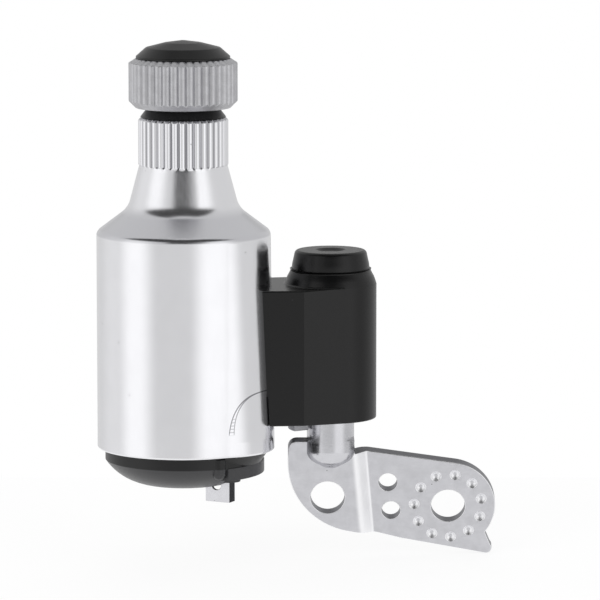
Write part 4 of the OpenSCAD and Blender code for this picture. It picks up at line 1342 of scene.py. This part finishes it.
@dataclass
class Studio:
    """Camera, lamps, white surroundings and pale floor.

    Attributes:
        camera_at: The camera's place.
        aim: What the camera and the lamps look at.
        lens: Focal length in millimetres.
        ambient: Strength of the world for all but mirror-like rays.
        floor_half: Half the floor's side.
        floor_gap: Gap between the floor and the object.
        floor_glow: Strength of the white that the camera sees on the floor.
        floor_share: Share of that white; the rest is lit paper with the shadow.
        level: The tent's strength outside every panel.
        panels: For each panel its bearings, heights, edge width in degrees and change of strength.
    """
    camera_at: tuple[float, float, float] = (-37.1, -1111.2, 204.0)
    aim: tuple[float, float, float] = (-37.1, -11.17, 52.5)
    lens: float = 269.5
    ambient: float = 0.55
    floor_half: float = 120.0
    floor_gap: float = 0.05
    floor_glow: float = 1.08
    floor_share: float = 0.8
    level: float = 0.72
    panels: tuple[tuple, ...] = (
        ((-84, -46), (-40, 36), 26, 0.40), ((-128, -84), (-40, 36), 36, 0.12), ((20, 66), (-40, 36), 26, 0.42),
        ((-100, 80), (38, 78), 10, -0.66), ((-22, 34), (16, 38), 10, -0.62),
        ((-180, -162), (14, 52), 16, -0.34), ((162, 180), (14, 52), 16, -0.34))

    def camera(self) -> None:
        """Puts the camera at the photograph's place."""
        data = bpy.data.cameras.new("camera")
        data.lens = self.lens
        data.sensor_width = 36
        data.clip_start, data.clip_end = 0.1, 20
        bpy.context.scene.camera = self.aimed(bpy.data.objects.new("camera", data), self.camera_at)

    def aimed(self, made: bpy.types.Object, at: Corner) -> bpy.types.Object:
        """Puts a camera or lamp in its place, turned to the object's middle.

        Args:
            made: The camera or lamp.
            at: Its place in millimetres.

        Returns:
            The camera or lamp.
        """
        bpy.context.scene.collection.objects.link(made)
        made.location = Vector(at) * MM
        made.rotation_euler = (Vector(self.aim) - Vector(at)).to_track_quat("-Z", "Y").to_euler()
        return made

    def lamp(self, name: str, at: Corner, size: tuple[float, float], watts: float) -> None:
        """Adds a soft rectangular lamp that faces the object's middle.

        Args:
            name: The lamp's name.
            at: Its place in millimetres.
            size: Its width and height in millimetres.
            watts: Its power.
        """
        data = bpy.data.lights.new(name, "AREA")
        data.shape = "RECTANGLE"
        data.size, data.size_y = size[0] * MM, size[1] * MM
        data.energy = watts
        made = self.aimed(bpy.data.objects.new(name, data), at)
        made.visible_glossy = False

    def surroundings(self) -> None:
        """White world for the camera; a softer, uneven light tent for everything else.

        Mirror-like metal sees the tent: white panels to the left and right of the camera, a greyer
        front between them and a dark slot above the camera, as in a photographer's tent.
        """
        world = bpy.data.worlds.new("tent")
        bpy.context.scene.world = world
        world.use_nodes = True
        tree = world.node_tree
        tree.nodes.clear()
        toward = add_node(tree, "ShaderNodeTexCoord").outputs["Generated"]
        split = add_node(tree, "ShaderNodeSeparateXYZ", (toward,))
        back = add_node(tree, "MULTIPLY", (split.outputs[1], -1.0))
        bearing = add_node(tree, "ARCTAN2", (split.outputs[0], back))
        height = add_node(tree, "ARCSINE", (split.outputs[2],))
        path = add_node(tree, "ShaderNodeLightPath").outputs
        glossy, plain, white = [
            add_node(tree, "ShaderNodeBackground", {"Color": (1, 1, 1, 1), "Strength": strength})
            for strength in (self.patch(tree, bearing, height), self.ambient, 1.0)]
        shine = add_node(tree, "ShaderNodeMixShader", (path["Is Glossy Ray"], plain, glossy))
        through = add_node(tree, "MAXIMUM", (path["Is Camera Ray"], path["Is Transmission Ray"]))
        mixed = add_node(tree, "ShaderNodeMixShader", (through, shine, white))
        add_node(tree, "ShaderNodeOutputWorld", (mixed,))

    def patch(self, tree: bpy.types.NodeTree, bearing: bpy.types.Node,
              height: bpy.types.Node) -> bpy.types.Node:
        """Strength of the tent: its level, raised or lowered inside soft-edged panels.

        Args:
            tree: The world's nodes.
            bearing: Angle from the camera's side, to the right, in radians.
            height: Angle above the horizon, in radians.

        Returns:
            The node that gives the strength.
        """
        level: Value = self.level
        for bearings, heights, edge, change in self.panels:
            mask: Value = change
            for angle, (low, high) in ((bearing, bearings), (height, heights)):
                low, high, half = radians(low), radians(high), radians(edge / 2)
                share = band(tree, angle, (low - half, low + half), (high + half, high - half))
                mask = add_node(tree, "MULTIPLY", (mask, share))
            level = add_node(tree, "ADD", (level, mask))
        return level

    def floor(self) -> None:
        """Pale floor just under the object, white to the camera apart from a soft shadow."""
        low = min(corner[2] for corner in cad_box) / MM - self.floor_gap
        reach = self.floor_half
        x, y, _ = self.aim
        corners = ((-1, -1), (1, -1), (1, 1), (-1, 1))
        points = np.array([[x + i * reach, y + j * reach, low] for i, j in corners])
        ground = piece(mesh_of("floor", points * MM, [[0, 1, 2, 3]]), 40)
        material = bpy.data.materials.new("floor_paper")
        material.use_nodes = True
        tree = material.node_tree
        paper = tree.nodes["Principled BSDF"]
        paper.inputs["Base Color"].default_value = linear("#f4f4f4")
        paper.inputs["Roughness"].default_value = 0.9
        glow = add_node(tree, "ShaderNodeEmission", {"Color": (1, 1, 1, 1), "Strength": self.floor_glow})
        path = add_node(tree, "ShaderNodeLightPath").outputs
        seen = add_node(tree, "MAXIMUM", (path["Is Camera Ray"], path["Is Glossy Ray"]))
        seen = add_node(tree, "MAXIMUM", (seen, path["Is Transmission Ray"]))
        share = add_node(tree, "MULTIPLY", (seen, self.floor_share))
        mixed = add_node(tree, "ShaderNodeMixShader", (share, paper, glow))
        tree.links.new(mixed.outputs[0], tree.nodes["Material Output"].inputs[0])
        ground.data.materials.append(material)

    def build(self) -> None:
        """Makes the studio, camera first."""
        self.camera()
        self.lamp("key", (-650, -750, 650), (700, 700), 2.4)
        self.lamp("fill", (700, -700, 350), (600, 800), 1.6)
        self.lamp("rear", (100, 800, 700), (800, 500), 1.2)
        self.surroundings()
        self.floor()
        bpy.context.scene.view_settings.view_transform = "Standard"


def main() -> None:
    """Builds the studio and the object."""
    logging.basicConfig(level=logging.INFO, format="%(message)s")
    Studio().build()
    shop = Workshop()
    for part in (Can(), Roller(), HingeArm(), Mount(), Base(), Inside()):
        part.build(shop)


if __name__ == "__main__":
    main()
